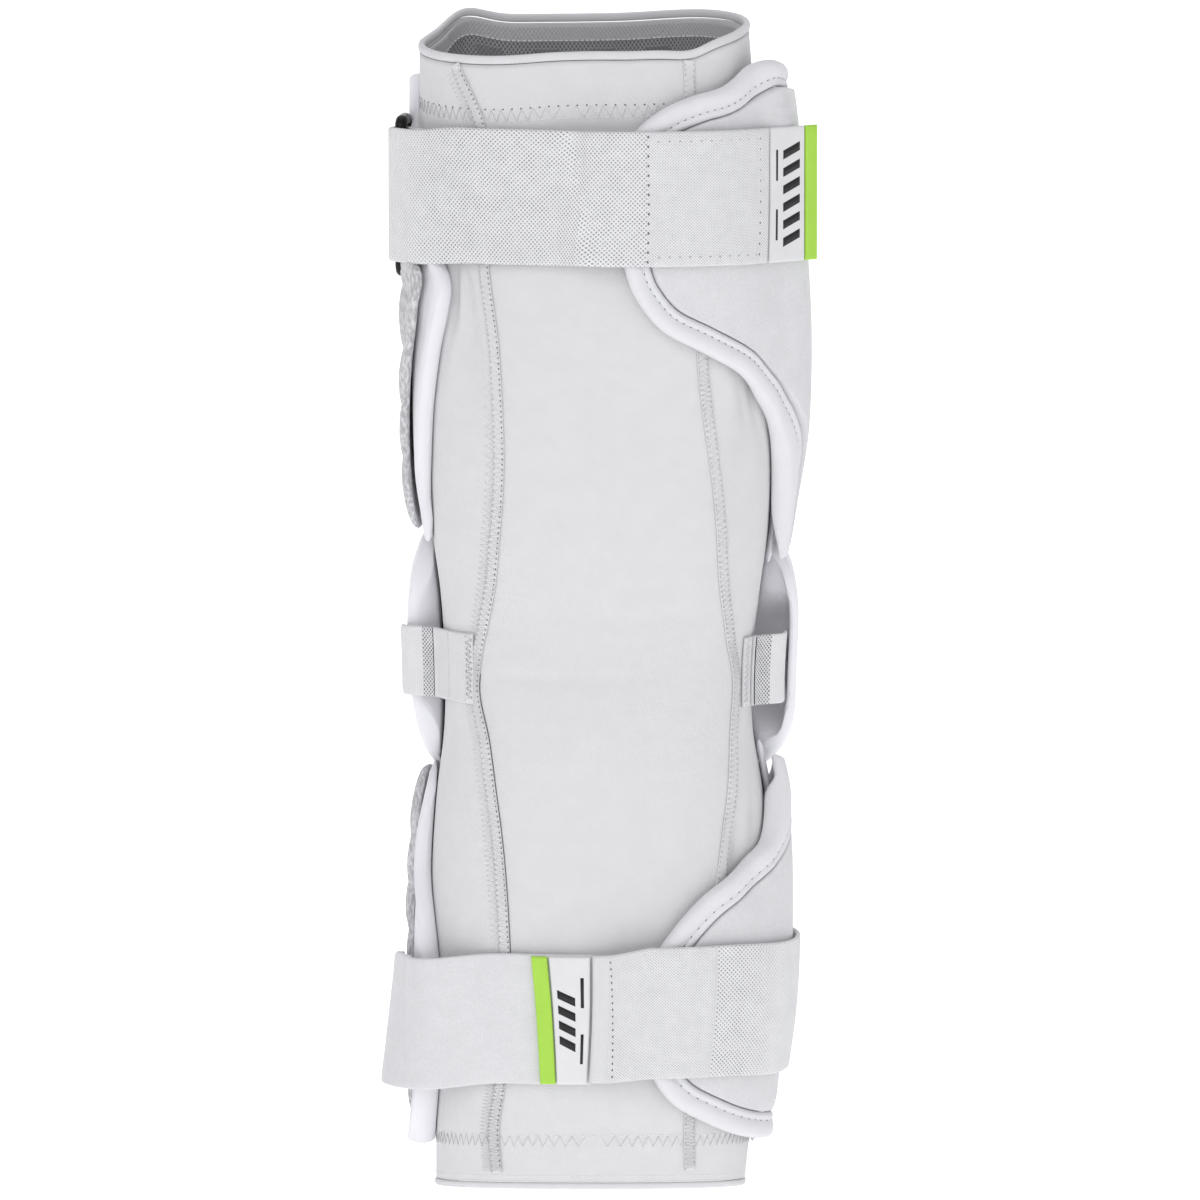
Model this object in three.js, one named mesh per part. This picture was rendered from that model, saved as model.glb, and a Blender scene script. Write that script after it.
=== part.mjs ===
// Lacrosse arm pad for a left arm: a knitted sleeve with outer pads, an elbow cap and two straps.
// Millimetres. +Z runs up the arm, the elbow is at z = 0 and the inner elbow faces -Y.
// A place on the sleeve is given by its turn (degrees, 0 at -Y, 90 at +X) and its height z.
import * as THREE from "three";

// Sleeve
const UPPER_LENGTH = 220; // elbow to the cuff edge
const LOWER_LENGTH = 190; // elbow to the wrist hem
const ELBOW_WIDTH = 111;
const ELBOW_DEPTH = 74;
const SQUARENESS = 2.4; // power of the oval section
const SLEEVE_WALL = 1.5;
const CUFF_RISE = 6.5; // how much higher the cuff edge is behind than in front
const CUFF_TILT = 3; // and higher at the right than at the left
const HEM_DROP = 4; // how much lower the hem is behind
const EDGE_BAND_HEIGHT = 3; // rolled elastic on the cuff edge
const HEM_BAND_HEIGHT = 2.4;
const EDGE_BAND_THICKNESS = 2.6;
const LINING_LENGTH = 62;
const LINING_WALL = 1;
const GAP = 0.3; // clearance between touching pieces
const SOFT_GAP = 1.1; // clearance between soft pieces that follow each other round the arm

// Seam tapes
const SEAM_WIDTH = 4;
const SEAM_THICKNESS = 0.8;
const SEAM_SEAT = 0.6; // seam's underside above the sleeve

// Pads and shells
const PAD_SEAT = 1.8; // pad's underside above the sleeve
const PAD_RIGHT_TURN = 84; // right edge of both pads, under the flaps
const SHELL_THICKNESS = 3.6;
const RIB_DEPTH = 1.6;
const RIB_COUNT = 7;
const PAD_TOP_INSET = 13; // cuff edge to the bicep pad's top
const PAD_FOOT_INSET = 11; // wrist hem to the forearm pad's foot
const SHELL_MARGIN = 9; // shell's edge inside the pad's ends
// Edges of the pads and shells: shares of the sides over which they round, and the height left.
const PAD_ROUND = { across: 0.05, up: 0.08, left: 0.35 };
const SHELL_ROUND = { across: 0.08, up: 0.06, left: 0.45 };

// Flaps
const FLAP_THICKNESS = 4;
const FLAP_ROOT_TURN = 122; // where a flap is sewn to its pad
const BINDING_WIDTH = 9.5;
const BINDING_EXTRA = 1; // how much a binding stands above its flap

// Elbow cap
const CAP_HALF_HEIGHT = 31; // at its wings
const CAP_BACK_HALF_HEIGHT = 58;
const CAP_LEFT_RISE = 13.4; // outer face above the sleeve at the left wing
const CAP_RIGHT_RISE = 15.8;
const CAP_BACK_RISE = 25;
const CAP_WALL = 3.2;
const CAP_EDGE_RISE = 2.8;
const CAP_WING_TURN = 92; // where the wings end on both sides
const ELBOW_PAD_SPAN = 48; // foam under the cap, degrees to each side of the back
const ELBOW_PAD_SHARE = 0.8; // its height as a share of the cap's

// Webbing
const STRAP_WIDTH = 48; // upper and lower elastic straps
const STRAP_THICKNESS = 1.8;
const UPPER_STRAP_DROP = 55.5; // cuff edge to the middle of the upper strap
const LOWER_STRAP_RISE = 61; // wrist hem to the middle of the lower strap
const LOOP_WIDTH = 25.4; // elbow loops
const LOOP_THICKNESS = 1.6;
const LEFT_LOOP_DROP = 3.2; // middle of the left loop below the elbow
const RIGHT_LOOP_DROP = 5.6;
const RING_WIRE = 4.4; // black strap ring
const RING_HEIGHT = 58;
const RING_REACH = 17; // across its two long bars, middle to middle
const RING_STAND = 7.4; // ring's middle plane above the sleeve
const RING_TURN = -88;
const BEND_PAST = 25; // degrees that a strap bends past a half turn about the ring
const KEEPER_TAIL = [-107, -111, -115]; // turns where the ring's keeper is sewn to the pad
// Turns of each elbow tab's sides, and where its loop leaves it, measured from the front.
const LEFT_TAB = { from: -69, to: -54, loop: 70 };
const RIGHT_TAB = { from: 66, to: 74, loop: 75 };

// Sections of the sleeve from the cuff edge (at 1) over the elbow (at 0) to the hem (at -1).
// Width and depth are shares of the elbow's, shift is a share of the width, twist in degrees.
const SECTIONS = [
  { at: 1.0, width: 1.07, depth: 0.95, shift: -0.05, twist: -12 },
  { at: 0.88, width: 1.085, depth: 0.99, shift: -0.04, twist: -10 },
  { at: 0.72, width: 1.105, depth: 1.03, shift: -0.015, twist: -6 },
  { at: 0.55, width: 1.125, depth: 1.05, shift: 0, twist: -2 },
  { at: 0.38, width: 1.125, depth: 1.05, shift: 0, twist: 0 },
  { at: 0.22, width: 1.095, depth: 1.03, shift: 0, twist: 0 },
  { at: 0.1, width: 1.035, depth: 1.01, shift: 0, twist: 0 },
  { at: 0, width: 1, depth: 1, shift: -0.005, twist: 0 },
  { at: -0.14, width: 1, depth: 0.99, shift: -0.005, twist: 0 },
  { at: -0.28, width: 1.065, depth: 0.96, shift: 0, twist: 0 },
  { at: -0.46, width: 1.1, depth: 0.92, shift: 0, twist: 0 },
  { at: -0.66, width: 1.085, depth: 0.85, shift: 0, twist: 0 },
  { at: -0.84, width: 1.04, depth: 0.75, shift: -0.015, twist: 0 },
  { at: -1, width: 1.01, depth: 0.62, shift: -0.03, twist: 0 },
];

// Hollows pressed into the knit: gathers beside the straps and the soft crease of the elbow.
// Reach is a share of the arm's length and span is in degrees; lean turns a fold as it climbs.
const FOLDS = [
  { at: 0.03, turn: 0, span: 44, reach: 0.13, lean: 0, depth: 0.018 },
  { at: 0.54, turn: -47, span: 8, reach: 0.13, lean: -40, depth: 0.02 },
  { at: 0.4, turn: 56, span: 9, reach: 0.13, lean: 60, depth: 0.018 },
  { at: -0.42, turn: 56, span: 9, reach: 0.14, lean: -60, depth: 0.016 },
];

// Left edge of the bicep pad, as turn against height.
const BICEP_WING = [
  { at: 0.95, turn: -92 }, { at: 0.88, turn: -92 }, { at: 0.74, turn: -91 }, { at: 0.67, turn: -90 },
  { at: 0.62, turn: -68 },
  { at: 0.57, turn: -59 }, { at: 0.5, turn: -64 }, { at: 0.42, turn: -70 }, { at: 0.33, turn: -75 },
  { at: 0.25, turn: -79 }, { at: 0.15, turn: -74 },
];

// Left edge of the forearm pad.
const FOREARM_WING = [
  { at: -0.16, turn: -84 }, { at: -0.28, turn: -85 }, { at: -0.4, turn: -82 }, { at: -0.5, turn: -72 },
  { at: -0.6, turn: -67 }, { at: -0.72, turn: -68 }, { at: -0.84, turn: -74 }, { at: -0.94, turn: -84 },
];

// How far each pad stands above the sleeve at its left side, behind and at its right side.
const PAD_RISE = [
  { at: 1.0, left: 4, back: 8, right: 5.5 },
  { at: 0.88, left: 4.2, back: 10, right: 7.4 },
  { at: 0.74, left: 2.6, back: 11, right: 6.2 },
  { at: 0.6, left: 4.8, back: 11, right: 5.6 },
  { at: 0.4, left: 4.8, back: 11, right: 5.4 },
  { at: 0.25, left: 4.6, back: 10, right: 3.4 },
  { at: 0.14, left: 3.2, back: 8, right: 3.2 },
  { at: -0.16, left: 3.2, back: 8, right: 3.2 },
  { at: -0.3, left: 4.6, back: 10, right: 3.6 },
  { at: -0.5, left: 5.4, back: 10, right: 3.2 },
  { at: -0.75, left: 7.5, back: 9, right: 2.9 },
  { at: -0.95, left: 9, back: 8, right: 2.9 },
];

// Left edges of the two outer shells; the bicep shell leaves room for the strap ring.
const BICEP_SHELL_WING = [
  { at: 0.95, turn: -108 }, { at: 0.88, turn: -121 }, { at: 0.65, turn: -121 },
  { at: 0.59, turn: -100 }, { at: 0.4, turn: -97 }, { at: 0.15, turn: -97 },
];
const FOREARM_SHELL_WING = [
  { at: -0.15, turn: -97 }, { at: -0.45, turn: -98 }, { at: -0.7, turn: -102 }, { at: -0.95, turn: -104 },
];

// Free edge of the bicep flap, from the cuff down to the elbow.
const BICEP_FLAP = [
  { turn: 99, at: 0.975 }, { turn: 78, at: 0.96 }, { turn: 56, at: 0.938 }, { turn: 41, at: 0.922 },
  { turn: 28, at: 0.9 }, { turn: 17, at: 0.86 }, { turn: 9, at: 0.79 }, { turn: 6, at: 0.72 },
  { turn: 8, at: 0.65 }, { turn: 11, at: 0.6 }, { turn: 20, at: 0.545 }, { turn: 32, at: 0.507 },
  { turn: 46, at: 0.465 }, { turn: 60, at: 0.4 }, { turn: 71, at: 0.335 }, { turn: 79, at: 0.25 },
  { turn: 84, at: 0.155 },
];

// Free edge of the forearm flap, from the elbow down to the hem.
const FOREARM_FLAP = [
  { turn: 87, at: -0.195 }, { turn: 80, at: -0.265 }, { turn: 68, at: -0.34 }, { turn: 54, at: -0.378 },
  { turn: 42, at: -0.41 }, { turn: 31, at: -0.445 }, { turn: 21, at: -0.5 }, { turn: 13, at: -0.57 },
  { turn: 10, at: -0.65 }, { turn: 11, at: -0.73 }, { turn: 16, at: -0.795 }, { turn: 24, at: -0.845 },
  { turn: 38, at: -0.882 }, { turn: 53, at: -0.908 }, { turn: 70, at: -0.924 }, { turn: 96, at: -0.935 },
];

// Seam routes on the sleeve.
const LEFT_SEAM = [
  { turn: -40, at: 0.955 }, { turn: -29, at: 0.87 }, { turn: -32, at: 0.75 }, { turn: -34, at: 0.64 },
  { turn: -32, at: 0.5 }, { turn: -32, at: 0.28 }, { turn: -38, at: 0.135 }, { turn: -48, at: 0.01 },
  { turn: -50, at: -0.06 }, { turn: -43, at: -0.16 }, { turn: -35, at: -0.31 }, { turn: -31, at: -0.45 },
  { turn: -30, at: -0.62 }, { turn: -32, at: -0.8 }, { turn: -35, at: -0.9 }, { turn: -33, at: -0.985 },
];
const RIGHT_SEAM = [
  { turn: 43, at: 0.965 }, { turn: 40, at: 0.85 }, { turn: 35, at: 0.68 }, { turn: 32, at: 0.5 },
  { turn: 34, at: 0.4 }, { turn: 40, at: 0.26 }, { turn: 46, at: 0.13 }, { turn: 55, at: 0.03 },
  { turn: 61, at: -0.04 }, { turn: 58, at: -0.14 }, { turn: 50, at: -0.27 }, { turn: 43, at: -0.39 },
  { turn: 36, at: -0.6 }, { turn: 32, at: -0.8 }, { turn: 33, at: -0.9 }, { turn: 35, at: -0.98 },
];

// What the upper strap lies on, from the ring to its pull end, as shares of how far the ring,
// the bound flap and the pad under the flap stand above the sleeve.
const UPPER_STRAP_LIE = [
  { turn: -66, ring: 0.62, flap: 0, pad: 0 }, { turn: -54, ring: 0.33, flap: 0, pad: 0 },
  { turn: -40, ring: 0.07, flap: 0, pad: 0 }, { turn: -20, ring: 0, flap: 0, pad: 0 },
  { turn: -6, ring: 0, flap: 0.12, pad: 0 }, { turn: 2, ring: 0, flap: 0.85, pad: 0 },
  { turn: 9, ring: 0, flap: 1.02, pad: 0 }, { turn: 40, ring: 0, flap: 1.02, pad: 0 },
  { turn: 66, ring: 0, flap: 1.05, pad: 0.05 }, { turn: 84, ring: 0, flap: 1.02, pad: 0.72 },
  { turn: 94, ring: 0, flap: 1.05, pad: 1 }, { turn: 118, ring: 0, flap: 1.05, pad: 1.1 },
];
const UPPER_ELASTIC_END = 64; // turn where the elastic meets its pull tab
const UPPER_TAB_END = 80;
const UPPER_TIP_END = 89.5;
const UPPER_LEAN = 0.17; // degrees for each mm up, which keep the strap's ends upright

// The same for the lower strap, from its pull end on the landing panel to its root at the right.
const LOWER_STRAP_LIE = [
  { turn: -14, ring: 0, flap: 0.26, pad: 0 }, { turn: -2, ring: 0, flap: 0.28, pad: 0 },
  { turn: 4, ring: 0, flap: 0.72, pad: 0 }, { turn: 11, ring: 0, flap: 1.02, pad: 0 },
  { turn: 60, ring: 0, flap: 1.04, pad: 0.02 }, { turn: 84, ring: 0, flap: 1.04, pad: 0.62 },
  { turn: 118, ring: 0, flap: 1.04, pad: 1.6 },
];
const LOWER_TIP_START = -17.6; // turn where the lime stripe begins
const LOWER_TIP_END = -13.4;
const LOWER_TAB_END = -1.9;
const LOWER_ELASTIC_END = 116;

// What the landing panel lies on, from its sewn end on the pad behind to under the tab.
const PANEL_LIE = [
  { turn: -106, ring: 0, flap: 0, pad: 1.4 }, { turn: -98, ring: 0.2, flap: 0, pad: 1.35 },
  { turn: -88, ring: 0.35, flap: 0, pad: 1.3 }, { turn: -76, ring: 0.32, flap: 0, pad: 1.1 },
  { turn: -60, ring: 0.1, flap: 0, pad: 1 }, { turn: -46, ring: 0, flap: 0, pad: 0.2 },
  { turn: -38, ring: 0, flap: 0, pad: -0.08 }, { turn: -24, ring: 0, flap: 0, pad: -0.09 },
  { turn: -1, ring: 0, flap: 0, pad: -0.08 },
];

const DEGREES_PER_MM = 360 / (1.6 * (ELBOW_WIDTH + ELBOW_DEPTH)); // round the elbow
const LIFT_OVER_SEAM = SEAM_SEAT + SEAM_THICKNESS + SOFT_GAP;
const FLAP_TOP = FLAP_THICKNESS + BINDING_EXTRA + GAP; // strap's seat on a bound flap
const RING_TOP = RING_STAND + RING_WIRE / 2 + 2 * GAP; // strap's seat on the ring's outer side
const UPPER_MIDDLE = UPPER_LENGTH - UPPER_STRAP_DROP; // heights of the straps' middle lines
const LOWER_MIDDLE = LOWER_STRAP_RISE - LOWER_LENGTH;
const radians = THREE.MathUtils.degToRad;
const { lerp, smoothstep } = THREE.MathUtils;

// Value of one column of a table at a place in its key column, on a smooth curve.
function lookUp(table, key, column, place) {
  const rows = [...table].sort((a, b) => a[key] - b[key]);
  const last = rows.length - 1;
  let i = 0;
  while (i < last - 1 && place > rows[i + 1][key]) i += 1;
  const slope = (k) => {
    const a = rows[Math.max(k - 1, 0)];
    const b = rows[Math.min(k + 1, last)];
    return (b[column] - a[column]) / (b[key] - a[key]);
  };
  const span = rows[i + 1][key] - rows[i][key];
  const t = THREE.MathUtils.clamp((place - rows[i][key]) / span, -0.2, 1.2);
  const [t2, t3] = [t * t, t * t * t];
  return (2 * t3 - 3 * t2 + 1) * rows[i][column] + (t3 - 2 * t2 + t) * slope(i) * span
    + (3 * t2 - 2 * t3) * rows[i + 1][column] + (t3 - t2) * slope(i + 1) * span;
}

// Height from a share of the length above or below the elbow, and back.
const heightAt = (at) => at * (at >= 0 ? UPPER_LENGTH : LOWER_LENGTH);
const shareAt = (z) => z / (z >= 0 ? UPPER_LENGTH : LOWER_LENGTH);
const cuffEdge = (turn) =>
  UPPER_LENGTH - CUFF_RISE * Math.cos(radians(turn)) + CUFF_TILT * Math.sin(radians(turn));
const hemEdge = (turn) => -LOWER_LENGTH - HEM_DROP * (1 - Math.cos(radians(turn))) / 2;

// Turn in the half circle either side of the front.
const nearTurn = (turn) => THREE.MathUtils.euclideanModulo(turn + 180, 360) - 180;

// Depth of the folds at a place.
function foldDepth(turn, z) {
  let depth = 0;
  for (const fold of FOLDS) {
    const rise = shareAt(z) - fold.at;
    const across = (nearTurn(turn) - fold.turn - fold.lean * rise) / fold.span;
    const along = rise / fold.reach;
    depth += fold.depth * ELBOW_WIDTH * Math.exp(-across * across - along * along);
  }
  return depth;
}

// Point on the sleeve's outer face, moved outwards by a lift.
function skin(turn, z, lift = 0) {
  const at = shareAt(z);
  const [width, depth, shift, twist] = ["width", "depth", "shift", "twist"]
    .map((column) => lookUp(SECTIONS, "at", column, at));
  const oval = (angle) => {
    const [s, c] = [Math.sin(radians(angle)), Math.cos(radians(angle))];
    return new THREE.Vector2(
      ELBOW_WIDTH * width / 2 * Math.sign(s) * Math.abs(s) ** (2 / SQUARENESS),
      -ELBOW_DEPTH * depth / 2 * Math.sign(c) * Math.abs(c) ** (2 / SQUARENESS));
  };
  const step = 0.5;
  const along = oval(turn + step).sub(oval(turn - step)).normalize();
  const place = oval(turn).addScaledVector(new THREE.Vector2(along.y, -along.x),
    lift - foldDepth(turn, z));
  place.rotateAround(new THREE.Vector2(), radians(twist));
  return new THREE.Vector3(place.x + shift * ELBOW_WIDTH, place.y, z);
}

// Closed solid between two faces over a grid of columns (u) and rows (v).
// A wrapped grid closes on itself along u, as a tube does.
function solidFrom(columns, rows, outer, inner, wrap = false) {
  const across = wrap ? columns : columns + 1;
  const points = [];
  for (const face of [outer, inner]) {
    for (let j = 0; j <= rows; j += 1) {
      for (let i = 0; i < across; i += 1) points.push(face(i / columns, j / rows));
    }
  }
  const layer = across * (rows + 1);
  const at = (side, i, j) => side * layer + j * across + (wrap ? i % columns : i);
  const faces = [];
  const quad = (a, b, c, d) => faces.push(a, b, c, a, c, d);
  for (let j = 0; j < rows; j += 1) {
    for (let i = 0; i < columns; i += 1) {
      quad(at(0, i, j), at(0, i + 1, j), at(0, i + 1, j + 1), at(0, i, j + 1));
      quad(at(1, i, j), at(1, i, j + 1), at(1, i + 1, j + 1), at(1, i + 1, j));
    }
  }
  for (let i = 0; i < columns; i += 1) {
    quad(at(1, i, 0), at(1, i + 1, 0), at(0, i + 1, 0), at(0, i, 0));
    quad(at(0, i, rows), at(0, i + 1, rows), at(1, i + 1, rows), at(1, i, rows));
  }
  for (let j = 0; j < rows && !wrap; j += 1) {
    quad(at(0, 0, j), at(0, 0, j + 1), at(1, 0, j + 1), at(1, 0, j));
    quad(at(0, columns, j), at(1, columns, j), at(1, columns, j + 1), at(0, columns, j + 1));
  }
  const geometry = new THREE.BufferGeometry();
  geometry.setAttribute("position", new THREE.Float32BufferAttribute(
    points.flatMap((point) => point.toArray()), 3));
  geometry.setIndex(faces);
  return geometry;
}

// Even steps drawn closer together near both ends, so that an edge can round over.
const eased = (share) => 0.5 - 0.5 * Math.cos(Math.PI * share);

// Rounding of a padded piece: 0 on its border, 1 once it is a given share inside.
function crown(u, v, edgeU, edgeV) {
  const inside = Math.min(1, Math.min(u, 1 - u) / edgeU, Math.min(v, 1 - v) / edgeV);
  return Math.sqrt(Math.max(0, 1 - (1 - inside) ** 2));
}

// Tube that follows the sleeve between two heights.
function tube(columns, rows, foot, top, liftOut, liftIn) {
  const face = (lift) => (u, v) => {
    const turn = 360 * u;
    return skin(turn, lerp(foot(turn), top(turn), v), lift);
  };
  return solidFrom(columns, rows, face(liftOut), face(liftIn), true);
}

// Curve through a table of turns and heights.
function route(table) {
  const points = table.map((row) => new THREE.Vector3(row.turn, heightAt(row.at), 0));
  return new THREE.CatmullRomCurve3(points, false, "centripetal");
}

// Place beside a route at a distance, to the side that has larger turns where it runs down.
function beside(curve, share, distance) {
  const step = 0.01;
  const here = curve.getPoint(share);
  const ahead = curve.getPoint(Math.min(share + step, 1));
  const behind = curve.getPoint(Math.max(share - step, 0));
  const perDegree = skin(here.x + 1, here.y).distanceTo(skin(here.x - 1, here.y)) / 2;
  const along = new THREE.Vector2((ahead.x - behind.x) * perDegree, ahead.y - behind.y).normalize();
  return { turn: here.x - distance * along.y / perDegree, z: here.y + distance * along.x };
}

// Flat tape along a route, centred on it.
function tape(table, steps, width, liftIn, liftOut) {
  const curve = route(table);
  const face = (lift) => (u, v) => {
    const { turn, z } = beside(curve, 1 - v, lerp(-width / 2, width / 2, u));
    return skin(turn, z, lift);
  };
  return solidFrom(1, steps, face(liftOut), face(liftIn));
}

// Rise of a pad above the sleeve: its left side, behind and its right side, blended by turn.
function padRise(turn, z) {
  const at = shareAt(z);
  const [left, back, right] = ["left", "back", "right"].map((c) => lookUp(PAD_RISE, "at", c, at));
  const side = Math.sin(radians(nearTurn(turn)));
  const behind = smoothstep(-Math.cos(radians(turn)), 0.1, 0.95);
  return lerp(side < 0 ? left : right, back, behind);
}

// Height of the elbow cap's edge at a turn: low at its wings, high behind.
function capEdge(turn) {
  const behind = Math.max(0, -Math.cos(radians(turn)));
  return lerp(CAP_HALF_HEIGHT, CAP_BACK_HALF_HEIGHT, behind ** 0.8);
}

// How far a pad reaches from the elbow; the side is 1 above it and -1 below it.
const padReach = (side) =>
  side > 0 ? UPPER_LENGTH - PAD_TOP_INSET : LOWER_LENGTH - PAD_FOOT_INSET;

// Place on a pad: u runs from its right edge round the back to its left edge, v from foot to top.
// The side is 1 for the bicep pad above the cap and -1 for the forearm pad below it.
function padPlace(side, wing, right, margin) {
  const far = padReach(side) - margin;
  return (u, v) => {
    const near = capEdge(lerp(right, 360 - PAD_RIGHT_TURN, u)) + SOFT_GAP + margin / 2;
    const z = side > 0 ? lerp(near, far, v) : -lerp(far, near, v);
    return { turn: lerp(right, 360 + lookUp(wing, "at", "turn", shareAt(z)), u), z };
  };
}

// Fabric-covered foam pad round the back of the arm.
function padSolid(side) {
  const place = padPlace(side, side > 0 ? BICEP_WING : FOREARM_WING, PAD_RIGHT_TURN, 0);
  const face = (isOuter) => (u, v) => {
    const [across, up] = [eased(u), eased(v)];
    const { turn, z } = place(across, up);
    const round = crown(across, up, PAD_ROUND.across, PAD_ROUND.up);
    const thickness = padRise(turn, z) - PAD_SEAT;
    return skin(turn, z, PAD_SEAT + (isOuter ? thickness * lerp(PAD_ROUND.left, 1, round) : 0));
  };
  return solidFrom(18, 12, face(true), face(false));
}

// Ribbed outer shell on a pad.
function shellSolid(side) {
  const wing = side > 0 ? BICEP_SHELL_WING : FOREARM_SHELL_WING;
  const place = padPlace(side, wing, FLAP_ROOT_TURN + SHELL_MARGIN * DEGREES_PER_MM / 2, SHELL_MARGIN);
  const face = (isOuter) => (u, v) => {
    const { turn, z } = place(u, v);
    const seat = padRise(turn, z) + SOFT_GAP;
    const ridge = RIB_DEPTH * Math.abs(Math.sin(Math.PI * v * RIB_COUNT));
    const round = lerp(SHELL_ROUND.left, 1, crown(u, v, SHELL_ROUND.across, SHELL_ROUND.up));
    return skin(turn, z, seat + (isOuter ? (SHELL_THICKNESS - RIB_DEPTH + ridge) * round : 0));
  };
  return solidFrom(11, 2 * RIB_COUNT, face(true), face(false));
}

// Underside of a flap: on the sleeve in front, over the pad's edge at the side.
function flapSeat(turn, z) {
  const overPad = smoothstep(turn, 70, 86);
  return lerp(LIFT_OVER_SEAM, Math.max(padRise(turn, z) + 1.6 * SOFT_GAP, LIFT_OVER_SEAM), overPad);
}

const FLAP_STEPS = 20; // facets along a flap's edge

// Flap's thickness falls away towards its two ends.
const flapThickness = (share) =>
  FLAP_THICKNESS * (0.4 + 0.6 * smoothstep(Math.min(share, 1 - share), 0, 0.14));

// Flap inside its binding, from the free edge to its root on the pad.
function flapSolid(side, table) {
  const curve = route(table);
  const nearRoot = side * (capEdge(FLAP_ROOT_TURN) + SHELL_MARGIN / 2);
  const farRoot = side * (padReach(side) - SHELL_MARGIN / 2);
  const [topRoot, footRoot] = [Math.max(nearRoot, farRoot), Math.min(nearRoot, farRoot)];
  const face = (isOuter) => (u, v) => {
    const share = 1 - v;
    const start = beside(curve, share, BINDING_WIDTH + GAP);
    const turn = lerp(start.turn, FLAP_ROOT_TURN, u);
    const z = lerp(start.z, lerp(topRoot, footRoot, share), u);
    return skin(turn, z, flapSeat(turn, z) + (isOuter ? flapThickness(share) : 0));
  };
  return solidFrom(7, FLAP_STEPS, face(true), face(false));
}

// Folded binding along a flap's free edge.
function flapBinding(table) {
  const curve = route(table);
  const face = (isOuter) => (u, v) => {
    const share = 1 - v;
    const { turn, z } = beside(curve, share, BINDING_WIDTH * u);
    const height = (flapThickness(share) + BINDING_EXTRA) * (0.6 + 0.4 * Math.sin(Math.PI * u));
    return skin(turn, z, flapSeat(turn, z) + (isOuter ? height : 0));
  };
  return solidFrom(2, FLAP_STEPS, face(true), face(false));
}

// Place on the elbow cap: u round the back from wing to wing, v from its lower to its upper edge.
function capPlace(u, v) {
  const turn = lerp(CAP_WING_TURN, 360 - CAP_WING_TURN, u);
  return { turn, z: lerp(-capEdge(turn), capEdge(turn), v) };
}

// Cap's outer face above the sleeve: a dome that comes down to its edges.
// Its lower right corner is squarer than the others.
function capRise(turn, z) {
  const behind = Math.max(0, -Math.cos(radians(turn)));
  const right = Math.max(0, Math.sin(radians(turn)));
  const power = z < 0 ? 2 + 3 * right ** 4 : 2;
  const dome = Math.sqrt(Math.max(0, 1 - Math.abs(z / capEdge(turn)) ** power));
  const side = Math.sin(radians(turn)) > 0 ? CAP_RIGHT_RISE : CAP_LEFT_RISE;
  const top = lerp(side, CAP_BACK_RISE, behind);
  const edge = lerp(CAP_EDGE_RISE, 2 * CAP_EDGE_RISE, behind);
  return lerp(edge, top, dome);
}

function capSolid() {
  const face = (isOuter) => (u, v) => {
    const { turn, z } = capPlace(u, eased(v));
    const outer = capRise(turn, z);
    return skin(turn, z, isOuter ? outer : Math.max(outer - CAP_WALL, SOFT_GAP + outer * 0.1));
  };
  return solidFrom(16, 10, face(true), face(false));
}

// Foam between the back of the sleeve and the cap, which carries the cap.
function elbowPadSolid() {
  const face = (isOuter) => (u, v) => {
    const turn = 180 + ELBOW_PAD_SPAN * (2 * u - 1);
    const edge = capEdge(turn) * ELBOW_PAD_SHARE;
    const z = lerp(-edge, edge, v);
    return skin(turn, z, isOuter ? capRise(turn, z) - CAP_WALL - SOFT_GAP : PAD_SEAT);
  };
  return solidFrom(8, 6, face(true), face(false));
}

// Underside of a strap above the sleeve: what it lies on at a turn.
function strapLift(lie, turn, middle) {
  const [ring, flap, pad] = ["ring", "flap", "pad"].map((c) => lookUp(lie, "turn", c, turn));
  const padTop = lookUp(PAD_RISE, "at", turn < 0 ? "left" : "right", shareAt(middle)) + SOFT_GAP;
  return LIFT_OVER_SEAM + ring * (RING_TOP - LIFT_OVER_SEAM) + flap * FLAP_TOP + pad * padTop;
}

// Band that lies over the sleeve between two turns at a given lift.
function bandSolid(liftAt, from, to, middle, height, thickness, columns, lean = 0) {
  const face = (extra) => (u, v) => {
    const turn = lerp(from, to, u) + lean * height * (v - 0.5);
    return skin(turn, middle + height * (v - 0.5), liftAt(turn) + extra);
  };
  return solidFrom(columns, 2, face(thickness), face(0));
}

// Stretch of the upper or the lower strap.
function strapSolid(lie, from, to, middle, height, columns, lean) {
  const liftAt = (turn) => strapLift(lie, turn, middle);
  return bandSolid(liftAt, from, to, middle, height, STRAP_THICKNESS, columns, lean);
}

// Upright ribbon: pathAt gives its middle line in plan at a height, as equally many points each time.
function ribbonSolid(pathAt, middle, height, thickness) {
  const columns = pathAt(middle).length - 1;
  const face = (side) => (u, v) => {
    const level = middle + height * (v - 0.5);
    const path = pathAt(level);
    const i = Math.round(u * columns);
    const along = path[Math.min(i + 1, columns)].clone().sub(path[Math.max(i - 1, 0)]).setZ(0);
    along.normalize();
    return path[i].clone().setZ(level)
      .addScaledVector(new THREE.Vector3(along.y, -along.x, 0), side * thickness / 2);
  };
  return solidFrom(columns, 2, face(1), face(-1));
}

// Bend about an upright bar, from its inner side (towards the arm) round to past its outer side.
function roundBar(bar, out, radius, sense, steps = 7) {
  const tangent = new THREE.Vector3(-out.y, out.x, 0).multiplyScalar(sense);
  const sweep = Math.PI + radians(BEND_PAST);
  return Array.from({ length: steps + 1 }, (_, k) => {
    const angle = sweep * k / steps - Math.PI / 2;
    return bar.clone().addScaledVector(out, radius * Math.sin(angle))
      .addScaledVector(tangent, radius * Math.cos(angle));
  });
}

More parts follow.
